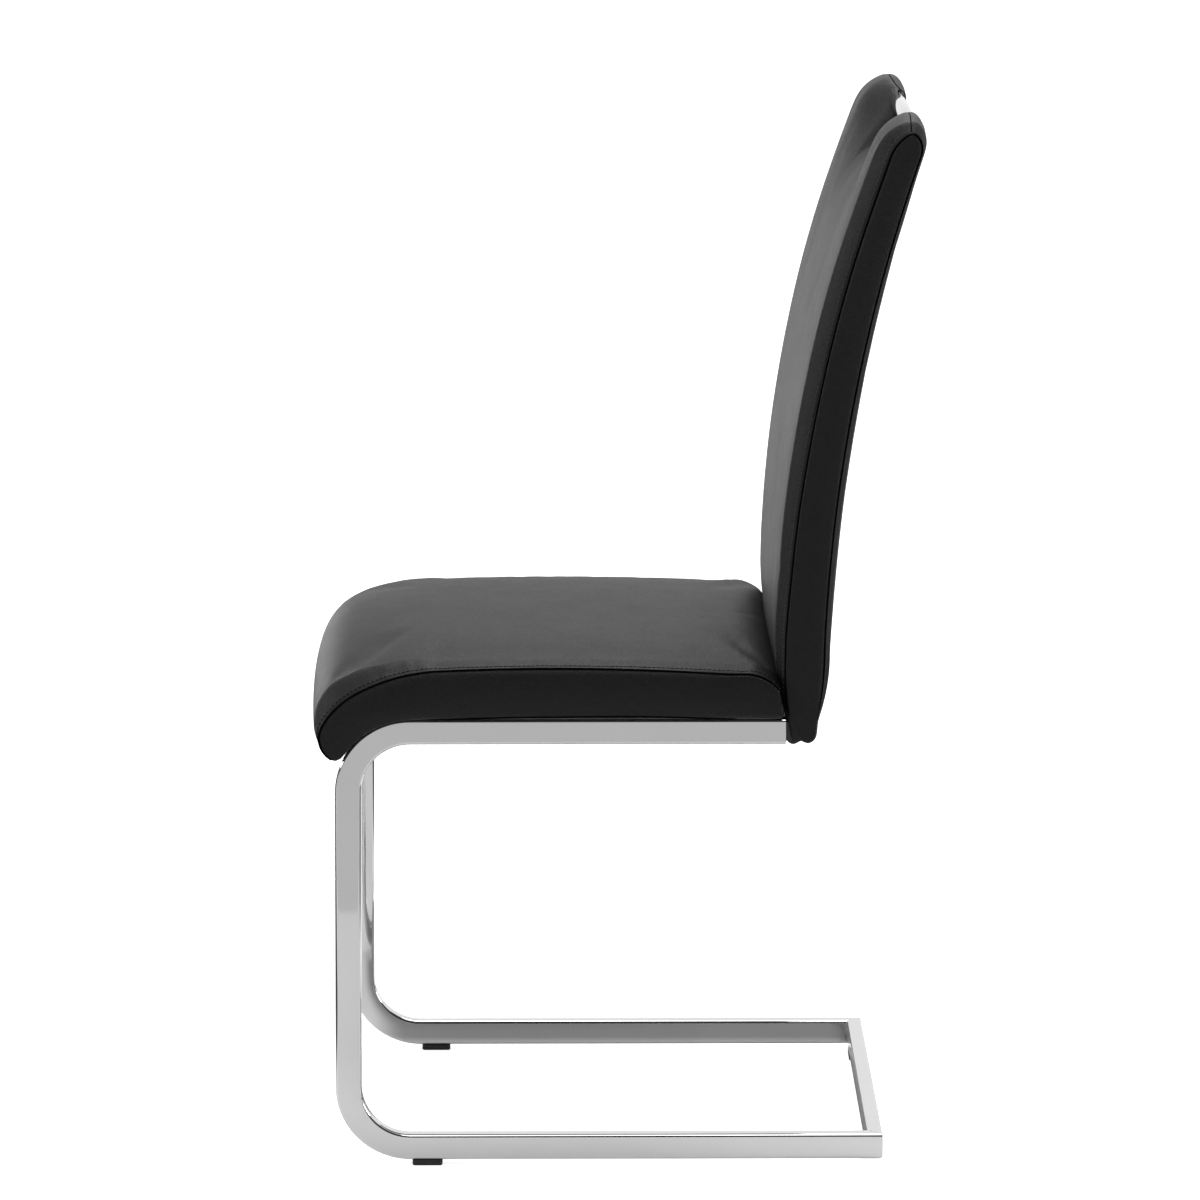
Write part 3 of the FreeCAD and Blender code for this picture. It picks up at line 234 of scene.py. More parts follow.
def leather_finish():
    """Black imitation leather: an embossed pebble grain, fine pores, soft sheen and a little uneven polish."""
    made, place = new_finish("black_leather")
    cloud = made.noise(place, 7.0, 3.0)
    patch = made.noise(place, 38.0, 2.0)
    pebbles = made.node("ShaderNodeTexVoronoi", {"feature": "DISTANCE_TO_EDGE"},
                        {"Vector": place, "Scale": 520.0})
    hills = pebbles.between(0.0, 0.4)
    pores = made.noise(place, 1300.0, 2.0)
    color = made.mix(cloud.between(0.35, 0.7), grey(0.0075, (1.04, 0.94, 1.06)), grey(0.0105, (1.03, 0.95, 1.05)))
    color = made.mix(1.0 - hills, color, grey(0.004))
    roughness = 0.36 + 0.08 * cloud + 0.06 * patch + 0.10 * (1.0 - hills)
    relief = made.bump(hills + 0.6 * pores, 0.8, 0.0002)
    return made.surface(Base_Color=color, Roughness=roughness, Normal=relief, Specular_IOR_Level=0.24)


def chrome_finish():
    """Bright chrome plate: nearly even, with faint polishing haze."""
    made, place = new_finish("bright_chrome")
    haze = made.noise(place, 14.0, 4.0, 0.6)
    drawn = made.node("ShaderNodeMapping", None, {"Vector": place, "Scale": (30.0, 30.0, 420.0)})
    streak = made.noise(drawn, 1.0, 2.0)
    color = made.mix(haze, grey(0.66), grey(0.71, (0.995, 1.0, 1.0)))
    return made.surface(Base_Color=color, Metallic=1.0, Roughness=0.03 + 0.04 * haze * haze + 0.015 * streak)


def speckled(name, color, rough, metallic=0.0, grain=900.0, gloss=0.5):
    """A plain coloured finish with a fine grain in its colour, gloss and relief."""
    made, place = new_finish(name)
    cloud = made.noise(place, 25.0, 3.0)
    fine = made.noise(place, grain, 3.0)
    return made.surface(Base_Color=made.mix(cloud, darker(color, 0.75), color), Metallic=metallic,
                        Specular_IOR_Level=gloss, Roughness=rough - 0.08 + 0.16 * fine,
                        Normal=made.bump(fine, 0.3, 0.00006))


def woven(name, color, pitch):
    """Cloth: two crossed waves of thread, with painted shade: each thread painted lighter on top and darker
    between the threads. At a scale of 0.314 the waves are a metre apart, and pitch is their distance in metres."""
    made, place = new_finish(name)
    threads = [made.node("ShaderNodeTexWave", {"bands_direction": way}, {"Vector": place, "Scale": 0.314 / pitch})
               for way in ("X", "Y")]
    weave = (threads[0] + threads[1]) * 0.5
    # painted shade: the hollows between the threads are painted darker, the thread tops lighter
    return made.surface(Base_Color=made.mix(weave, darker(color, 0.55), color), Roughness=0.9,
                        Normal=made.bump(weave, 0.4, 0.0002))


def plywood_finish():
    """Moulded plywood: long grain along the chair."""
    made, place = new_finish("plywood")
    along = made.node("ShaderNodeMapping", None, {"Vector": place, "Scale": (60.0, 4.0, 60.0)})
    grain = made.noise(along, 1.0, 6.0, 0.6)
    color = made.mix(grain.between(0.35, 0.65), (0.50, 0.33, 0.18, 1.0), (0.68, 0.50, 0.30, 1.0))
    return made.surface(Base_Color=color, Roughness=0.6 + 0.15 * grain, Normal=made.bump(grain, 0.2, 0.0002))


def thread_finish():
    """Twisted sewing thread with a dull sheen."""
    made, place = new_finish("thread")
    twist = made.noise(place, 2500.0, 1.0)
    color = made.mix(twist, (0.012, 0.013, 0.018, 1.0), (0.032, 0.035, 0.048, 1.0))
    return made.surface(Base_Color=color, Roughness=0.55 + 0.1 * twist, Normal=made.bump(twist, 0.4, 0.0001))


LEATHER = leather_finish()
CHROME = chrome_finish()
PAD = speckled("moulded_pad", grey(0.012), 0.55)
LINING = woven("black_lining", grey(0.018), 0.0012)
THREAD = thread_finish()
# painted shade: the near-black, unglossy finish of the cords that stand for the shade in the seams
PAINTED_SEAM_SHADE = speckled("seam_shadow", grey(0.002), 0.85, gloss=0.0)
NODE_FINISH = {
    "painted_steel": speckled("black_powder_coat", grey(0.02), 0.45, 0.0, 1400.0),
    "fastener": speckled("zinc_plate", grey(0.55), 0.32, 1.0, 600.0),
    "plywood": plywood_finish(),
    "webbing": woven("elastic_strap", grey(0.1), 0.0015),
    "foam": speckled("cut_foam", (0.72, 0.68, 0.55, 1.0), 0.95),
    "lining": LINING,
    "leather": LEATHER,
    "chrome": CHROME,
    "pad": PAD,
}


# Curves of the side view

def arc(start, middle, end, count):
    """Points on the circle through three points, from the first up to but not including the last."""
    (ax, ay), (bx, by), (cx, cy) = start, middle, end
    area = 2 * (ax * (by - cy) + bx * (cy - ay) + cx * (ay - by))
    a2, b2, c2 = ax * ax + ay * ay, bx * bx + by * by, cx * cx + cy * cy
    x0 = (a2 * (by - cy) + b2 * (cy - ay) + c2 * (ay - by)) / area
    y0 = (a2 * (cx - bx) + b2 * (ax - cx) + c2 * (bx - ax)) / area
    first, mid, last = [math.atan2(y - y0, x - x0) for x, y in (start, middle, end)]
    turn = (last - first) % (2 * math.pi)
    if (mid - first) % (2 * math.pi) > turn:
        turn -= 2 * math.pi
    angle = first + turn * np.arange(count) / count
    radius = math.hypot(ax - x0, ay - y0)
    return np.stack([x0 + radius * np.cos(angle), y0 + radius * np.sin(angle)], axis=1)


def loop_points(edges, counts, soften):
    """Each edge, a line of two points or an arc of three, in its count of steps; then each point moves to the
    weighted mean of its neighbours, a bell curve soften steps wide, so that the arcs run into each other."""
    parts = []
    for points, count in zip(edges, counts):
        if len(points) == 3:
            parts.append(arc(*points, count))
        else:
            share = np.arange(count)[:, None] / count
            parts.append(np.array(points[0]) * (1 - share) + np.array(points[1]) * share)
    loop = np.concatenate(parts)
    reach = int(3 * soften) + 1
    steps = np.arange(-reach, reach + 1)
    weights = np.exp(-(steps / soften) ** 2)
    weights /= weights.sum()
    return sum(w * np.roll(loop, -s, axis=0) for w, s in zip(weights, steps))


def chained(points):
    """Alternate arcs through a middle point; a None joins its neighbours by a line."""
    edges, start = [], points[0]
    for middle, end in zip(points[1::2], points[2::2]):
        edges.append([start, end] if middle is None else [start, middle, end])
        start = end
    return edges


def seat_edges():
    """The seat's side view beside the rounded edge, and the outline of its side panel, lip first, clockwise."""
    seam, rise, end = TUBE_TOP + 50.0, 7.5, 419.5
    gap = 0.3
    under, bottom = BEND + gap, TUBE_TOP + gap
    heel, arch = [(BEND - under * math.cos(angle), TUBE_TOP - BEND + under * math.sin(angle))
                  for angle in (math.pi / 6, math.pi / 3)]
    rest = (BEND, bottom)
    side = chained([
        (2.0, 402.0), (-8.5, 410.0), (-12.0, 432.0), (-2.5, 446.5), (15.0, seam - 28), (55.0, seam - 9.5),
        (106.0, seam - 1), (243.7, seam + 1), (end - 38, seam - 5), (end - 8, seam - 9), (end + 6.5, seam - 22),
        None, (end + 10, bottom + 1), None, (BEND, bottom + 1), arch, heel, None, (2.0, 402.0)])
    full = chained([
        (1.0, 399.0), (-13.0, 414.0), (-17.0, 450.0), (-7.5, 467.0), (13.5, seam - 7), (52.0, seam + rise - 4),
        (100.0, seam + rise), (243.2, seam + rise + 1.5), (end - 33, seam + rise - 3), (end - 10, seam + 1),
        (end + 5, seam - 14), None, (end + 8, bottom), None, rest, arch, heel, None, (1.0, 399.0)])
    return full, side


BACK_RADIUS, BACK_FRONT, UPRIGHT_HEIGHT, BACK_TOP = 1290.0, 421.0, 530.0, 1014.0


def back_face(height):
    """Depth of the back's front face: a circle in side view, upright at its foremost point."""
    return BACK_FRONT + BACK_RADIUS - np.sqrt(BACK_RADIUS ** 2 - (height - UPRIGHT_HEIGHT) ** 2)


def back_rear(height):
    """Depth of the back's rear face: the front face plus a thickness that swells half way up."""
    return back_face(height) + np.interp(height, [400, 510, 620, 750, 880, 985, 1030],
                                         [50, 52, 56.5, 59.5, 58.5, 53, 51])


def back_edges():
    """The back's side view beside the rounded edge, and the outline of its side panel, foot first, clockwise."""
    low, top = 416.0, BACK_TOP
    front, rear = TUBE_END, TUBE_END + 30.0
    low_face, high_face, low_rear = low + 74, top - 29, low + 94
    middle, mid_rear = (low_face + high_face) / 2, (low_rear + high_face) / 2
    face = [float(back_face(z)) for z in (low_face, middle, high_face)]
    shoulder = face[2]
    top_depth, mid_depth = shoulder + 53.0, float(back_face(mid_rear)) + 59.5
    low_depth = float(back_face(low_rear)) + 52.0
    full = chained([
        (front, low + 22), (front - 6.5, low + 46), (face[0], low_face), (face[1], middle), (shoulder, high_face),
        (shoulder + 13.5, top - 10), (shoulder + 34, top), (top_depth - 3.5, top - 8), (top_depth, high_face),
        (mid_depth, mid_rear), (low_depth, low_rear), (rear + 7.5, low + 45), (rear + 1, low + 22),
        None, (rear - 0.5, low + 6), (rear - 7, low), (front + 13.5, low + 6), (front + 6.5, low - 2),
        (front, low + 5), None, (front, low + 22)])
    side = chained([
        (front + 3.5, low + 27), (float(back_face(low + 46)) + 8.8, low + 46),
        (float(back_face(low_face + 10)) + 9.3, low_face + 10), (face[1] + 16, middle),
        (float(back_face(high_face - 10)) + 16, high_face - 10),
        (shoulder + 19, high_face + 5.5), (shoulder + 35, top - 11), (top_depth - 13.5 + 6, top - 16),
        (top_depth - 5.5, high_face - 5), (mid_depth - 7.5, mid_rear), (low_depth - 6, low_rear),
        (rear + 2.5, low + 45), (rear - 2, low + 22), None, (rear - 2.5, low + 8), (rear - 8, low + 2),
        (front + 15.5, low + 4), (front + 14, low + 4.5), (front + 11.5, low + 8), None, (front + 3.5, low + 27)])
    return full, side


# Padded forms: a sleeve of stations across the chair, and a side panel at each end

def stations(half, edge, middle_places, edge_steps, softness):
    """Places across the chair and how far the edge has closed in there: a hyperbola that leaves the middle level
    and runs down to the seam at an even slope, the sooner the smaller the softness."""
    run = np.linspace(0, 1, edge_steps + 1)[1:]
    fall = (np.sqrt(run ** 2 + softness ** 2) - softness) / (math.sqrt(1 + softness ** 2) - softness)
    outer_x = half - edge + edge * run
    middle_places = np.asarray(middle_places)
    x = np.concatenate([-outer_x[::-1], middle_places, outer_x])
    share = np.concatenate([fall[::-1], np.zeros(len(middle_places)), fall])
    return x, share


def patch(loop, cuts):
    """A Coons patch over a closed loop cut at four places: the blend of its opposite sides, less their corners;
    also each point's share of the way along and across."""
    a, b, c, d = cuts
    top = loop[a:b + 1]
    far = loop[b:c + 1]
    low = loop[c:d + 1][::-1]
    near = np.concatenate([loop[d:], loop[:a + 1]])[::-1]
    if len(far) == 1:
        far = np.repeat(far, len(near), axis=0)
    s = np.linspace(0, 1, len(top))[:, None, None]
    t = np.linspace(0, 1, len(far))[None, :, None]
    corners = (1 - s) * (1 - t) * top[0] + s * (1 - t) * top[-1] + (1 - s) * t * low[0] + s * t * low[-1]
    flat = (1 - t) * top[:, None] + t * low[:, None] + (1 - s) * near[None] + s * far[None] - corners
    return flat, s[..., 0], t[..., 0]


def surface_normals(points):
    """Unit normals of a grid: the cross product of its two directions; its first direction is a closed loop."""
    along = np.roll(points, -1, axis=0) - np.roll(points, 1, axis=0)
    across = np.gradient(points, axis=1)
    normal = np.cross(along, across)
    return normal / np.maximum(np.linalg.norm(normal, axis=2, keepdims=True), 1e-9)


def resampled(count_from, count_to, closed):
    """Weights that turn values at evenly spread places into values at more places, by Catmull-Rom curves."""
    span = count_from if closed else count_from - 1
    place = np.arange(count_to) / (count_to if closed else count_to - 1) * span
    cell = np.floor(place).astype(int)
    f = place - cell
    weights = np.zeros((count_to, count_from))
    parts = (-0.5 * f + f ** 2 - 0.5 * f ** 3, 1 - 2.5 * f ** 2 + 1.5 * f ** 3,
             0.5 * f + 2 * f ** 2 - 1.5 * f ** 3, -0.5 * f ** 2 + 0.5 * f ** 3)
    for offset, part in zip((-1, 0, 1, 2), parts):
        index = (cell + offset) % count_from if closed else np.clip(cell + offset, 0, count_from - 1)
        np.add.at(weights, (np.arange(count_to), index), part)
    return weights


class Cushion:
    """A padded form on two grids: few points for the cloth, many for the finished surface."""

    def __init__(self, shape, counts, cuts, bulge, factor):
        """The shape's function, the loop's steps per edge, the side panel's cuts and bulge, and how many fine
        steps stand for a rough one."""
        self.shape, self.counts, self.cuts, self.bulge, self.factor = shape, counts, cuts, bulge, factor

    def build(self, factor):
        """The sleeve's grid, a loop along its rows and stations along its columns, and the two side panels'
        grids: each is a patch over its end loop, swollen outwards by a sine across and a steep rise along."""
        x, loops = self.shape([count * factor for count in self.counts], factor)
        sleeve = np.dstack([np.broadcast_to(x[None, :], loops.shape[:2]), loops])
        grids = [sleeve]
        for hand, column in ((LEFT, 0), (RIGHT, -1)):
            flat, s, t = patch(loops[:, column], [cut * factor for cut in self.cuts])
            swell = self.bulge * np.sin(math.pi * t) ** 0.8 * np.minimum(1, 6 * np.minimum(s, 1 - s))
            grids.append(np.dstack([sleeve[0, column, 0] + hand * swell, flat]))
        return grids


def joined(grids):
    """The points and quads of a sleeve and its two panels."""
    points = np.concatenate([grid.reshape(-1, 3) for grid in grids])
    starts = np.cumsum([0] + [grid.shape[0] * grid.shape[1] for grid in grids])
    quads = [grid_faces(grid.shape[0], grid.shape[1], wrap_rows=number == 0, first=starts[number])
             for number, grid in enumerate(grids)]
    return points, np.concatenate(quads)


CLOTH_FRAMES = 20


def cloth_swell(name, points, faces, held, cap, pressure):
    """Each point's movement when the cover swells for twenty frames of cloth under air pressure; a movement of m
    becomes m * cap / (cap + m), so that none reaches the cap."""
    mesh = bpy.data.meshes.new(name)
    mesh.from_pydata((points / 1000).tolist(), [], [face for part in faces for face in part.tolist()])
    body = bpy.data.objects.new(name, mesh)
    scene.collection.objects.link(body)
    pins = body.vertex_groups.new(name="held")
    pins.add(np.nonzero(held)[0].tolist(), 1.0, "REPLACE")
    cloth = body.modifiers.new("cover", "CLOTH")
    settings = cloth.settings
    settings.quality, settings.mass = 6, 0.35
    settings.tension_stiffness = settings.compression_stiffness = 30.0
    settings.shear_stiffness, settings.bending_stiffness = 12.0, 2.0
    settings.use_pressure, settings.uniform_pressure_force = True, pressure
    settings.effector_weights.gravity = 0.0
    settings.vertex_group_mass = "held"
    cloth.collision_settings.use_collision = False
    cloth.point_cache.frame_start, cloth.point_cache.frame_end = 1, CLOTH_FRAMES
    for number in range(1, CLOTH_FRAMES + 1):
        scene.frame_set(number)
    solved = body.evaluated_get(bpy.context.evaluated_depsgraph_get())
    moved = np.empty(3 * len(solved.data.vertices))
    solved.data.vertices.foreach_get("co", moved)
    moved = moved.reshape(-1, 3) * 1000 - points
    bpy.data.objects.remove(body)
    bpy.data.meshes.remove(mesh)
    scene.frame_set(1)
    length = np.linalg.norm(moved, axis=1, keepdims=True)
    return moved * cap / (cap + length)


def swollen(name, cushion, cap, pressure, hold):
    """The fine grids, moved as the cloth of the rough ones moved, while the seams between the panels stay where
    they are."""
    fine = cushion.build(cushion.factor)
    rough = cushion.build(1)
    points, quads = joined(rough)
    merged, faces, number = welded(points, quads)
    held = hold(merged)
    seam = np.zeros(rough[0].shape[:2], bool)
    seam[:, [0, -1]] = True
    held[number[:seam.size][seam.reshape(-1)]] = True
    move = cloth_swell(name, merged, outward(merged, faces), held, cap, pressure)[number]
    first = 0
    for place, (few, many) in enumerate(zip(rough, fine)):
        size = few.shape[0] * few.shape[1]
        by_row = resampled(few.shape[0], many.shape[0], place == 0)
        by_column = resampled(few.shape[1], many.shape[1], False)
        own = move[first:first + size].reshape(few.shape)
        fine[place] = many + np.einsum("ri,ijk,cj->rck", by_row, own, by_column)
        first += size
    return fine


def across(grid):
    """Each point's distance from its row's first point, measured along the row."""
    steps = np.linalg.norm(np.diff(grid, axis=1), axis=2)
    return np.concatenate([np.zeros((grid.shape[0], 1)), np.cumsum(steps, axis=1)], axis=1)


def seamed(grids, width, depth):
    """The grids with a valley along the seams between them, a bell curve of the distance from the seam; also the
    sleeve's outward normals."""
    sleeve, panels = grids[0], grids[1:]
    normal = surface_normals(sleeve)
    normal *= np.sign(np.einsum("ijk,ijk->", normal, sleeve - sleeve.mean(axis=(0, 1))))
    run = across(sleeve)
    away = np.minimum(run, run[:, -1:] - run)
    move = -depth * np.exp(-(away / width) ** 2)[..., None] * normal
    move[:, 0], move[:, -1] = (depth, 0, 0), (-depth, 0, 0)
    made = [sleeve + move]
    for hand, panel in zip((LEFT, RIGHT), panels):
        edges = (panel[:, :1], panel[:, -1:], panel[:1], panel[-1:])
        away = np.minimum.reduce([np.linalg.norm(panel - edge, axis=2) for edge in edges])
        made.append(panel - np.array([hand, 0, 0]) * depth * np.exp(-(away / width) ** 2)[..., None])
    return made, normal


def cushion_piece(name, grids, *finishes):
    """The finished cover as one closed mesh."""
    points, faces = welded(*joined(grids))[:2]
    return piece(name, points, outward(points, faces), *finishes)


# Sewing

def line_beside(grid, distance):
    """The line on a grid that runs at a distance from its first column, found between the columns of each row."""
    run = across(grid)
    after = np.clip((run < distance).sum(axis=1), 1, grid.shape[1] - 1)[:, None]
    low, high = [np.take_along_axis(run, place, 1) for place in (after - 1, after)]
    share = ((distance - low) / np.maximum(high - low, 1e-6))[..., None]
    first, second = [np.take_along_axis(grid, place[..., None], 1) for place in (after - 1, after)]
    return (first + (second - first) * share)[:, 0]


def spread(line, pitch):
    """Points at an even pitch along a line, with the unit direction of the line at each."""
    steps = np.linalg.norm(np.diff(line, axis=0), axis=1)
    run = np.concatenate([[0], np.cumsum(steps)])
    places = np.arange(pitch / 2, run[-1], pitch)
    points, ahead, behind = [
        np.stack([np.interp(places + shift, run, line[:, axis]) for axis in range(3)], axis=1)
        for shift in (0.0, 0.5, -0.5)]
    way = ahead - behind
    return points, way / np.maximum(np.linalg.norm(way, axis=1, keepdims=True), 1e-9)


def cord(line, radius, sides=6):
    """Points and quads of a round cord along an open line: rings at right angles to it, closed to a point at both
    ends."""
    way = np.gradient(line, axis=0)
    way /= np.maximum(np.linalg.norm(way, axis=1, keepdims=True), 1e-9)
    side = np.cross(way, [1.0, 0.13, 0.07])
    side /= np.linalg.norm(side, axis=1, keepdims=True)
    up = np.cross(way, side)
    angle = 2 * math.pi * np.arange(sides) / sides
    size = np.full(len(line), radius)
    size[[0, -1]] = 0.0
    rings = line[:, None] + size[:, None, None] * (np.cos(angle)[None, :, None] * side[:, None]
                                                  + np.sin(angle)[None, :, None] * up[:, None])
    return rings.reshape(-1, 3), grid_faces(len(line), sides, wrap_columns=True)


def stitches(lines, centre, length, width, pitch):
    """Points and quads of short stitches along lines: each is a spindle of six rings with five sides, pointed at
    both ends, that lies flat on the cover; centre gives the inside of the cushion."""
    places, ways = [np.concatenate(parts) for parts in zip(*[spread(line, pitch) for line in lines])]
    out = places - centre
    out -= np.einsum("ij,ij->i", out, ways)[:, None] * ways
    out /= np.linalg.norm(out, axis=1, keepdims=True)
    flat = np.cross(ways, out)
    along = np.array([-0.5, -0.42, -0.2, 0.2, 0.42, 0.5]) * length
    girth = np.array([0.0, 0.7, 1.0, 1.0, 0.7, 0.0]) * width / 2
    angle = 2 * math.pi * np.arange(5) / 5
    rings = (places[:, None, None] + along[None, :, None, None] * ways[:, None, None]
             + girth[None, :, None, None] * (np.cos(angle)[None, None, :, None] * flat[:, None, None]
                                             + np.sin(angle)[None, None, :, None] * out[:, None, None]))
    one = grid_faces(6, 5, wrap_columns=True)
    quads = (one[None] + 30 * np.arange(len(places))[:, None, None]).reshape(-1, 4)
    return rings.reshape(-1, 3), quads


def sewing(name, parts, material):
    """One object of several cords or rows of stitches, each given as its points and quads."""
    starts = np.cumsum([0] + [len(part[0]) for part in parts])
    points = np.concatenate([part[0] for part in parts])
    quads = np.concatenate([part[1] + start for part, start in zip(parts, starts)])
    points, faces = welded(points, quads)[:2]
    piece(name, points, outward(points, faces), material)


# Seat and back

SEAT_HALF, SEAT_EDGE = 217.0, 21.0
BACK_HALF, BACK_EDGE = 212.0, 13.0
LIP_HEIGHT, LIP_THICK, DISH_DEPTH, DISH_FOOT = 955.0, 12.0, 35.0, 850.0
SOFTEN = 1.2


def seat_shape(counts, factor):
    """Loops of the seat at each station: the full outline mixed with the side outline by the station's share, the
    crown of the middle, and a swell at the rear end where the seat is pressed against the back."""
    full, side = [loop_points(edges, counts, SOFTEN * factor) for edges in seat_edges()]
    inner = SEAT_HALF - SEAT_EDGE
    x, share = stations(SEAT_HALF, SEAT_EDGE, np.linspace(-inner, inner, 30 * factor + 1), 6 * factor, 0.5)
    share = share - 8.0 / 9.0 * np.clip(1 - (x / inner) ** 2, 0, 1)
    loops = full[:, None] + (side - full)[:, None] * share[None, :, None]
    depth, height = loops[..., 0], loops[..., 1]
    pressed = np.clip((depth - 404.0) / 15.0, 0, 1) * np.exp(-((height - 463.0) / 22.0) ** 2)
    loops[..., 0] += 4.0 * pressed * np.clip(1 - np.abs(x / 208.0) ** 6, 0, 1)
    return x, loops


def smooth_step(value, low, high):
    """0 up to low, 1 from high on, and a cubic between them."""
    run = np.clip((value - low) / (high - low), 0, 1)
    return run * run * (3 - 2 * run)


def notch_top(x):
    """Height of the back's top edge: the floor of the finger opening, a steep rise to the rounded inner corner of
    each ear, and the ear's crown."""
    wide = np.abs(x)
    ear = 45.0 * smooth_step(wide, 80.0, 101.0) + 13.0 * smooth_step(wide, 90.0, 150.0)
    return LIP_HEIGHT + ear - 3.0 * smooth_step(wide, 165.0, 210.0)


def dish(x, height):
    """How far the front face lies back before the finger opening: nothing at 850 high, growing as a power towards
    the lip, full in the middle and gone at the ears."""
    rise = np.clip((height - DISH_FOOT) / (LIP_HEIGHT - DISH_FOOT), 0, 1.45)
    return DISH_DEPTH * rise ** 3.2 * (1 - smooth_step(np.abs(x), 40.0, 152.0))


def lean(height):
    """How much further back than the plain circle the front face and the front seam lie, growing to the ears."""
    heights = [430, 521, 581, 641, 701, 761, 821, 881, 941, 985]
    return np.interp(height, heights, [0, -1, 1, 2, 3.5, 4.5, 5, 6, 7.5, 8])


def dished_share(x, height):
    """How much of the dish is there, from 0 to 1."""
    return np.clip(dish(x, height) / DISH_DEPTH, 0, 1)


def back_shape(counts, factor):
    """Loops of the back at each station. Above the knee a point's height is squeezed under the top edge there,
    and its depth keeps its share of the thickness between the dished front face and the rear face. The front
    swells a little in the middle, and its foot is pressed against the seat."""
    full, side = [loop_points(edges, counts, SOFTEN * factor) for edges in back_edges()]
    inner, knee = BACK_HALF - BACK_EDGE, 860.0
    half = np.concatenate([np.linspace(0.0, 74.0, 6 * factor + 1),
                           np.linspace(74.0, 110.0, 12 * factor + 1)[1:],
                           np.linspace(110.0, inner, 8 * factor + 1)[1:]])
    x, share = stations(BACK_HALF, BACK_EDGE, np.concatenate([-half[:0:-1], half]), 6 * factor, 0.22)
    crown = np.clip(1 - (x / inner) ** 2, 0, 1)
    loops = full[:, None] + (side - full)[:, None] * share[None, :, None]
    depth, height = loops[..., 0], loops[..., 1]
    places = np.broadcast_to(x[None, :], depth.shape)
    front, rear = back_face(height), back_rear(height)
    part = (depth - front) / (rear - front)
    leaned = lean(height) * (1 - 0.75 * smooth_step(part, 0.3, 1.0))
    squeezed = knee + (height - knee) * (notch_top(places) - knee) / (BACK_TOP - knee)
    lowered = np.where(height > knee, squeezed, height)
    front, rear = back_face(lowered), back_rear(lowered)
    dished = np.minimum(front + dish(places, lowered), rear - LIP_THICK)
    moved = np.where(height > 520.0, dished + part * (rear - dished), depth)
    moved += leaned * (1 - dished_share(places, lowered))
    towards_front = 1 - smooth_step(part, 0.2, 0.6)
    swell = 3.0 * np.exp(-((height - 720.0) / 260.0) ** 2) + 3.0 * np.exp(-((height - 465.0) / 30.0) ** 2)
    return x, np.dstack([moved - swell * crown * towards_front, lowered])


SEAT_COUNTS = [5, 5, 12, 30, 7, 6, 50, 9, 6]
SEAT_CUTS = [0, 59, 65, 124]
BACK_COUNTS = [9, 58, 8, 8, 48, 19, 5, 6, 6, 5]
BACK_CUTS = [0, 75, 75, 150]


def seat_hold(points):
    """The seat's cover is held to the board under it and where it is pressed against the back."""
    return (points[:, 2] < TUBE_TOP + 1.0) & (points[:, 1] > 20.0) | (points[:, 1] > 418.0)


def back_hold(points):
    """The back's cover is held at its gathered foot and round the finger opening."""
    near_opening = (np.abs(points[:, 0]) < 125.0) & (points[:, 2] > 935.0)
    return (points[:, 2] < 440.0) | near_opening


def drawn_in(grids):
    """The cover's lowest few millimetres are drawn in over the tube, by 2 percent of the half width."""
    for grid in grids:
        low = np.clip((TUBE_TOP + 5.5 - grid[..., 2]) / 5.0, 0, 1) ** 1.5 * smooth_step(grid[..., 1], 62.0, 84.0)
        grid[..., 0] *= 1 - 0.02 * low
    return grids


seat = Cushion(seat_shape, SEAT_COUNTS, SEAT_CUTS, 4.0, 3)
seat_grids = seamed(drawn_in(swollen("seat_cloth", seat, 5.0, 3.0, seat_hold)), 1.5, 1.2)[0]
seat_pad = cushion_piece("seat_cushion", seat_grids, LEATHER, LINING)
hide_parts("seat_cover_top", "seat_cover_side_right", "seat_cover_side_left", "seat_foam",
            "seat_dust_cover")

back = Cushion(back_shape, BACK_COUNTS, BACK_CUTS, 2.5, 2)
back_grids, back_normal = seamed(swollen("back_cloth", back, 4.0, 3.0, back_hold), 1.4, 1.2)
RIDGE = BACK_CUTS[1] * back.factor  # the row of the seam over the top edge, between the front and rear panels
around = across(back_grids[0].transpose(1, 0, 2)).T
from_ridge = around - around[RIDGE]
back_grids[0] = back_grids[0] - 0.9 * np.exp(-(from_ridge / 2.0) ** 2)[..., None] * back_normal
back_pad = cushion_piece("back_cushion", back_grids, LEATHER)
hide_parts("back_cover_front", "back_cover_rear", "back_cover_side_right", "back_cover_side_left",
            "back_foam_front", "back_foam_rear")


def line_underside(pad):
    """The faces that look down on the board, behind the front roll, take the pad's second finish."""
    polygons = pad.data.polygons
    middles, facing = np.empty(3 * len(polygons)), np.empty(3 * len(polygons))
    polygons.foreach_get("center", middles)
    polygons.foreach_get("normal", facing)
    under = (facing[2::3] < -0.8) & (middles[2::3] < (TUBE_TOP + 1.5) / 1000) & (middles[1::3] > -0.2)
    polygons.foreach_set("material_index", under.astype(int))


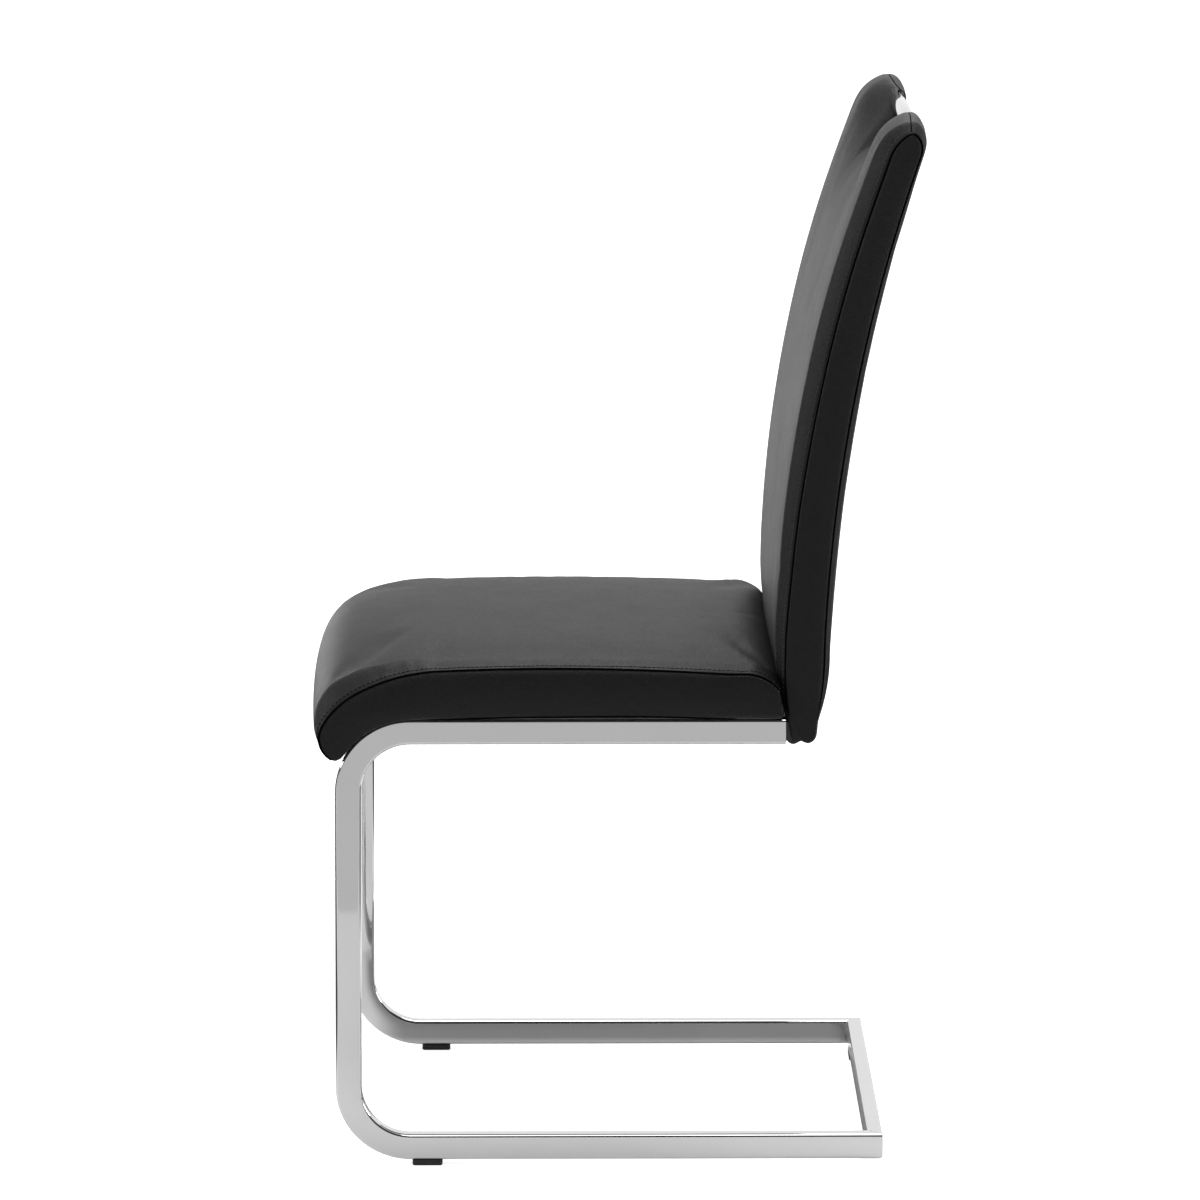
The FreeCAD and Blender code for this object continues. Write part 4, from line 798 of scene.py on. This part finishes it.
def side_sewing(hand):
    """Near-black cords in the seams of one side, which paint the shade of the seam grooves, and rows of stitches
    beside them: the seat's upper seam with its second line, the corner of its side panel, the welt that bows up
    over the tube, and the back's seam."""
    turned = slice(None) if hand == LEFT else slice(None, None, -1)
    lift = np.array([hand * 0.5, 0, 0])
    sleeve, panel = seat_grids[0][:, turned], seat_grids[1 if hand == LEFT else 2]
    middle = np.array([hand * 150.0, 200.0, 455.0])
    end = (SEAT_CUTS[1] + 3) * seat.factor
    beside = line_beside(sleeve, 4.8)[6:end]
    corner = line_beside(panel, 2.6)[-9 * seat.factor:]
    upward = panel[:, ::-1]
    rise = 7.0 * (1 - np.abs((upward[:, 0, 1] - 236.0) / 152.0) ** 3)
    welt = line_beside(upward, rise[:, None])[rise > 0.3]
    cords = [cord(sleeve[:end, 0] + lift, 0.9), cord(beside, 0.42), cord(welt + lift, 0.7)]
    threads = [stitches([beside], middle, 3.0, 0.95, 4.4), stitches([corner + 2 * lift], middle, 3.0, 0.8, 4.2)]
    sleeve = back_grids[0][:, turned]
    middle = np.array([hand * 150.0, 470.0, 700.0])
    cords.append(cord(sleeve[:BACK_CUTS[3] * back.factor, 0] + lift, 0.9))
    threads.append(stitches([line_beside(sleeve, 4.2)[8:RIDGE]], middle, 3.0, 0.8, 4.4))
    return cords, threads


line_underside(seat_pad)
left, right = side_sewing(LEFT), side_sewing(RIGHT)
ridge_cord = cord(back_grids[0][RIDGE, 2:-2], 0.55)
# the seam cords carry painted shade: near-black lines where the seams' grooves would lie in shade
sewing("painted_seam_shade", left[0] + right[0] + [ridge_cord], PAINTED_SEAM_SHADE)
sewing("seam_thread", left[1] + right[1], THREAD)


# Chromed tube, pads and handle

SECTION = (rounded_loop(15.0, 25.0, 3.0), rounded_loop(12.0, 22.0, 1.4))  # the flat tube's outside and its bore
HALF_WIDE, HALF_TALL = 7.5, 12.5
TRACK, LOOP_END = 200.0, 527.0  # the side tubes' middle planes, and the depth of the floor loop's rear face
RUNNER_HEIGHT = 18.5            # of the floor loop's middle, over the floor
MITRE_GAP, SKIN_GAP = 0.15, 0.6


def side_tube(name, hand, node):
    """The bent tube: one section carried along seat run, upper bend, leg, lower bend and runner, then mitred: a
    point's last place is the further forward the nearer it is to the chair's middle. The bends are quarter
    circles, and the leg leans 2 mm back to its top."""
    turn = np.linspace(0, math.pi / 2, 25)
    reach = BEND - HALF_TALL
    upper = np.stack([BEND - reach * np.sin(turn), TUBE_TOP - BEND + reach * np.cos(turn)], axis=1)
    lower = np.stack([BEND - reach * np.cos(turn), RUNNER_HEIGHT + reach - reach * np.sin(turn)], axis=1)
    seat_run = [(TUBE_END, TUBE_TOP - HALF_TALL), (TUBE_END - 0.5, TUBE_TOP - HALF_TALL)]
    path = np.concatenate([seat_run, upper, lower, [(LOOP_END - 0.5, RUNNER_HEIGHT), (LOOP_END, RUNNER_HEIGHT)]])
    away = np.concatenate([[(0, 1), (0, 1)], np.stack([-np.sin(turn), np.cos(turn)], axis=1),
                           np.stack([-np.cos(turn), -np.sin(turn)], axis=1), [(0, -1), (0, -1)]])
    rings = []
    for loop in SECTION:
        ring = np.empty((len(path), len(loop), 3))
        ring[..., 0] = hand * (TRACK + loop[:, 0])
        ring[..., 1:] = path[:, None] + away[:, None] * loop[None, :, 1:]
        high = smooth_step(ring[..., 2], 90.0, 390.0) * (1 - smooth_step(ring[..., 1], 90.0, 400.0))
        ring[..., 1] += 2.0 * high
        for last, gap in ((-1, MITRE_GAP), (-2, SKIN_GAP)):
            ring[last, :, 1] = LOOP_END - (TRACK + HALF_WIDE - np.abs(ring[last, :, 0])) - gap
        rings.append(ring)
    tube = closed_loft(name, np.concatenate([rings[0], rings[1][::-1]]), CHROME, ends=False)
    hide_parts(node)


def floor_bar():
    """The rear bar of the floor loop: the same section carried across, both ends mitred."""
    rings = []
    for loop in SECTION:
        depth = LOOP_END - HALF_WIDE + loop[:, 0]
        end = TRACK + HALF_WIDE - (LOOP_END - depth)
        ring = np.empty((4, len(loop), 3))
        ring[..., 0] = np.stack([MITRE_GAP - end, SKIN_GAP - end, end - SKIN_GAP, end - MITRE_GAP])
        ring[..., 1], ring[..., 2] = depth, RUNNER_HEIGHT + loop[:, 1]
        rings.append(ring)
    bar = closed_loft("rear_bar_chrome", np.concatenate([rings[0], rings[1][::-1]]), CHROME, ends=False)
    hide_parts("rear_floor_bar")


def handle_bar(half, depth, height, radius):
    """The round bar across the notch: circles of 64 points, smaller at both ends, which rounds their edges."""
    angle = np.linspace(0, 2 * math.pi, 65)[:-1]
    inset, less = np.array([0.0, 0.3, 1.0]), np.array([1.0, 0.3, 0.0])
    along = np.concatenate([inset - half, (half - inset)[::-1]])
    size = radius - np.concatenate([less, less[::-1]])[:, None]
    rings = np.dstack([np.broadcast_to(along[:, None], (6, 64)), depth + size * np.cos(angle),
                       height + size * np.sin(angle)])
    bar = closed_loft("handle_chrome", rings, CHROME)
    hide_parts("grab_handle")


def glide(name, place, size, node):
    """A moulded pad: a rounded rectangle whose lower and upper edges are eased."""
    rings = []
    for height, inset in ((0.0, 1.0), (0.3, 0.3), (1.0, 0.0), (5.4, 0.0), (6.0, 0.4)):
        loop = rounded_loop(size[0] - 2 * inset, size[1] - 2 * inset, 3.0 - inset)
        rings.append(np.column_stack([place[0] + loop[:, 0], place[1] + loop[:, 1], np.full(len(loop), height)]))
    pad = closed_loft(name, np.array(rings), PAD)
    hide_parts(node)


PAD_LONG, PAD_WIDE = 29.0, 14.4
for hand, side_name in ((RIGHT, "right"), (LEFT, "left")):
    side_tube("side_tube_chrome_" + side_name, hand, "side_tube_" + side_name)
    glide("front_pad_" + side_name, (hand * TRACK, 88.0), (PAD_WIDE, PAD_LONG), "front_glide_" + side_name)
    glide("rear_pad_" + side_name, (hand * 165.0, LOOP_END - HALF_WIDE), (PAD_LONG, PAD_WIDE),
          "rear_glide_" + side_name)
floor_bar()
handle_bar(189.5, float(back_face(985.0)) + 43.5, 997.0, 7.25)

slots = {entry["node"]: entry["material_slot"] for entry in frame["record"]["subparts"]}
for name, node in nodes.items():
    node.data.materials.clear()
    node.data.materials.append(NODE_FINISH[slots[name]])


# Floor, light and camera, in metres

LAMPS = (  # name, place, what it is aimed at, width of its disk, watts
    ("overhead", (-1.2, 0.4, 3.2), (0.0, 0.0, 0.5), 2.2, 50.0),
    ("front", (-2.7, -1.6, 0.55), (0.2, 0.2, 0.7), 1.4, 11.5),
    ("side", (1.7, -0.3, 3.4), (0.1, 0.0, 0.6), 1.8, 30.0),
    ("corner", (0.9, -2.9, 1.3), (0.2, 0.1, 0.7), 1.2, 32.0),
    ("rear", (0.9, 3.3, 0.9), (0.2, 0.25, 0.75), 1.2, 36.0),
)


def studio_floor():
    """A pale sheet that ends beside the chair, short of the camera; it shows white and keeps a faint shadow. To
    glossy rays its colour is painted darker: a painted shadow inside the floor loop and beside it, and painted
    dark patches before and behind the chair, which draw the tube's edges in the chrome."""
    made, place = new_finish("pale_floor")
    seen = made.node("ShaderNodeLightPath", output="Is Camera Ray")
    mirrored = made.node("ShaderNodeLightPath", output="Is Glossy Ray")
    x, y = made.axes(place, "XY")
    wide, deep = x.math("ABSOLUTE"), (y - 0.02).math("ABSOLUTE")
    inside = (1.0 - wide.between(0.15, 0.2)) * (1.0 - deep.between(0.23, 0.28))
    corner = deep.between(0.5, 0.7) * (1.0 - x.between(0.55, 0.85)) * x.between(-3.0, -2.0)
    # painted shade: for glossy rays only, the floor's colour is darkened inside the loop, before and behind the
    # chair, and towards the camera's side
    shade = mirrored * (0.62 * inside + 0.85 * corner + 0.27 * x.between(0.25, 0.65))
    own = made.node("ShaderNodeBsdfDiffuse", None, {"Color": made.mix(shade, grey(0.8), grey(0.0))})
    glow = made.node("ShaderNodeEmission", None, {"Color": grey(1.0), "Strength": seen * 0.72})
    both = made.node("ShaderNodeAddShader", None, {0: own, 1: glow})
    made.node("ShaderNodeOutputMaterial", None, {"Surface": both})
    mesh = bpy.data.meshes.new("floor")
    corners = [(-14.0, -8.0, 0.0), (1.16, -8.0, 0.0), (1.16, 8.0, 0.0), (-14.0, 8.0, 0.0)]
    mesh.from_pydata(corners, [], [(0, 1, 2, 3)])
    floor = bpy.data.objects.new("floor", mesh)
    scene.collection.objects.link(floor)
    mesh.materials.append(made.owner)


def studio_light():
    """White all round and overhead, but on the camera's side grey under the horizon and dark above it, and dark
    low down in front; soft round lamps overhead, at both sides of the front, beside the chair and behind it."""
    world = bpy.data.worlds.new("studio")
    scene.world = world
    made = Finish(world)
    seen = made.node("ShaderNodeLightPath", output="Is Camera Ray")
    way = made.node("ShaderNodeTexCoord", output="Generated")
    x, y, z = made.axes(way, "XYZ")
    above = z.between(-0.03, 0.02)
    near = 0.64 * (1.0 - above) + (0.06 + 0.94 * z.between(0.8, 0.95)) * above
    side = x.between(0.1, 0.45)
    end = 0.85 * (0.0 - y).between(0.5, 0.7) * (1.0 - z.between(0.08, 0.2)) * (1.0 - side)
    level = side * near + (1.0 - side) - end
    level = level * (1.0 - seen) + seen
    back_light = made.node("ShaderNodeBackground", None, {"Color": grey(1.0), "Strength": level})
    made.node("ShaderNodeOutputWorld", None, {"Surface": back_light})
    for name, place, aim, size, power in LAMPS:
        lamp = bpy.data.lights.new(name, "AREA")
        lamp.shape, lamp.size, lamp.energy = "DISK", size, power
        light = bpy.data.objects.new(name, lamp)
        light.location = place
        light.rotation_euler = (Vector(aim) - Vector(place)).to_track_quat("-Z", "Y").to_euler()
        scene.collection.objects.link(light)


def photo_camera():
    """The photograph's viewpoint: from the sitter's left, a little above the back."""
    camera = bpy.data.objects.new("camera", bpy.data.cameras.new("camera"))
    camera.data.lens, camera.data.sensor_width = 171.6, 36.0
    camera.location = (5.5, -0.0487, 1.644)
    yaw, pitch = math.radians(0.39), math.radians(11.61)
    ahead = Vector((-math.cos(yaw) * math.cos(pitch), math.sin(yaw) * math.cos(pitch), -math.sin(pitch)))
    camera.rotation_euler = ahead.to_track_quat("-Z", "Y").to_euler()
    camera.data.clip_end = 60.0
    scene.collection.objects.link(camera)
    scene.camera = camera


studio_floor()
studio_light()
photo_camera()
scene.view_settings.view_transform = "Standard"
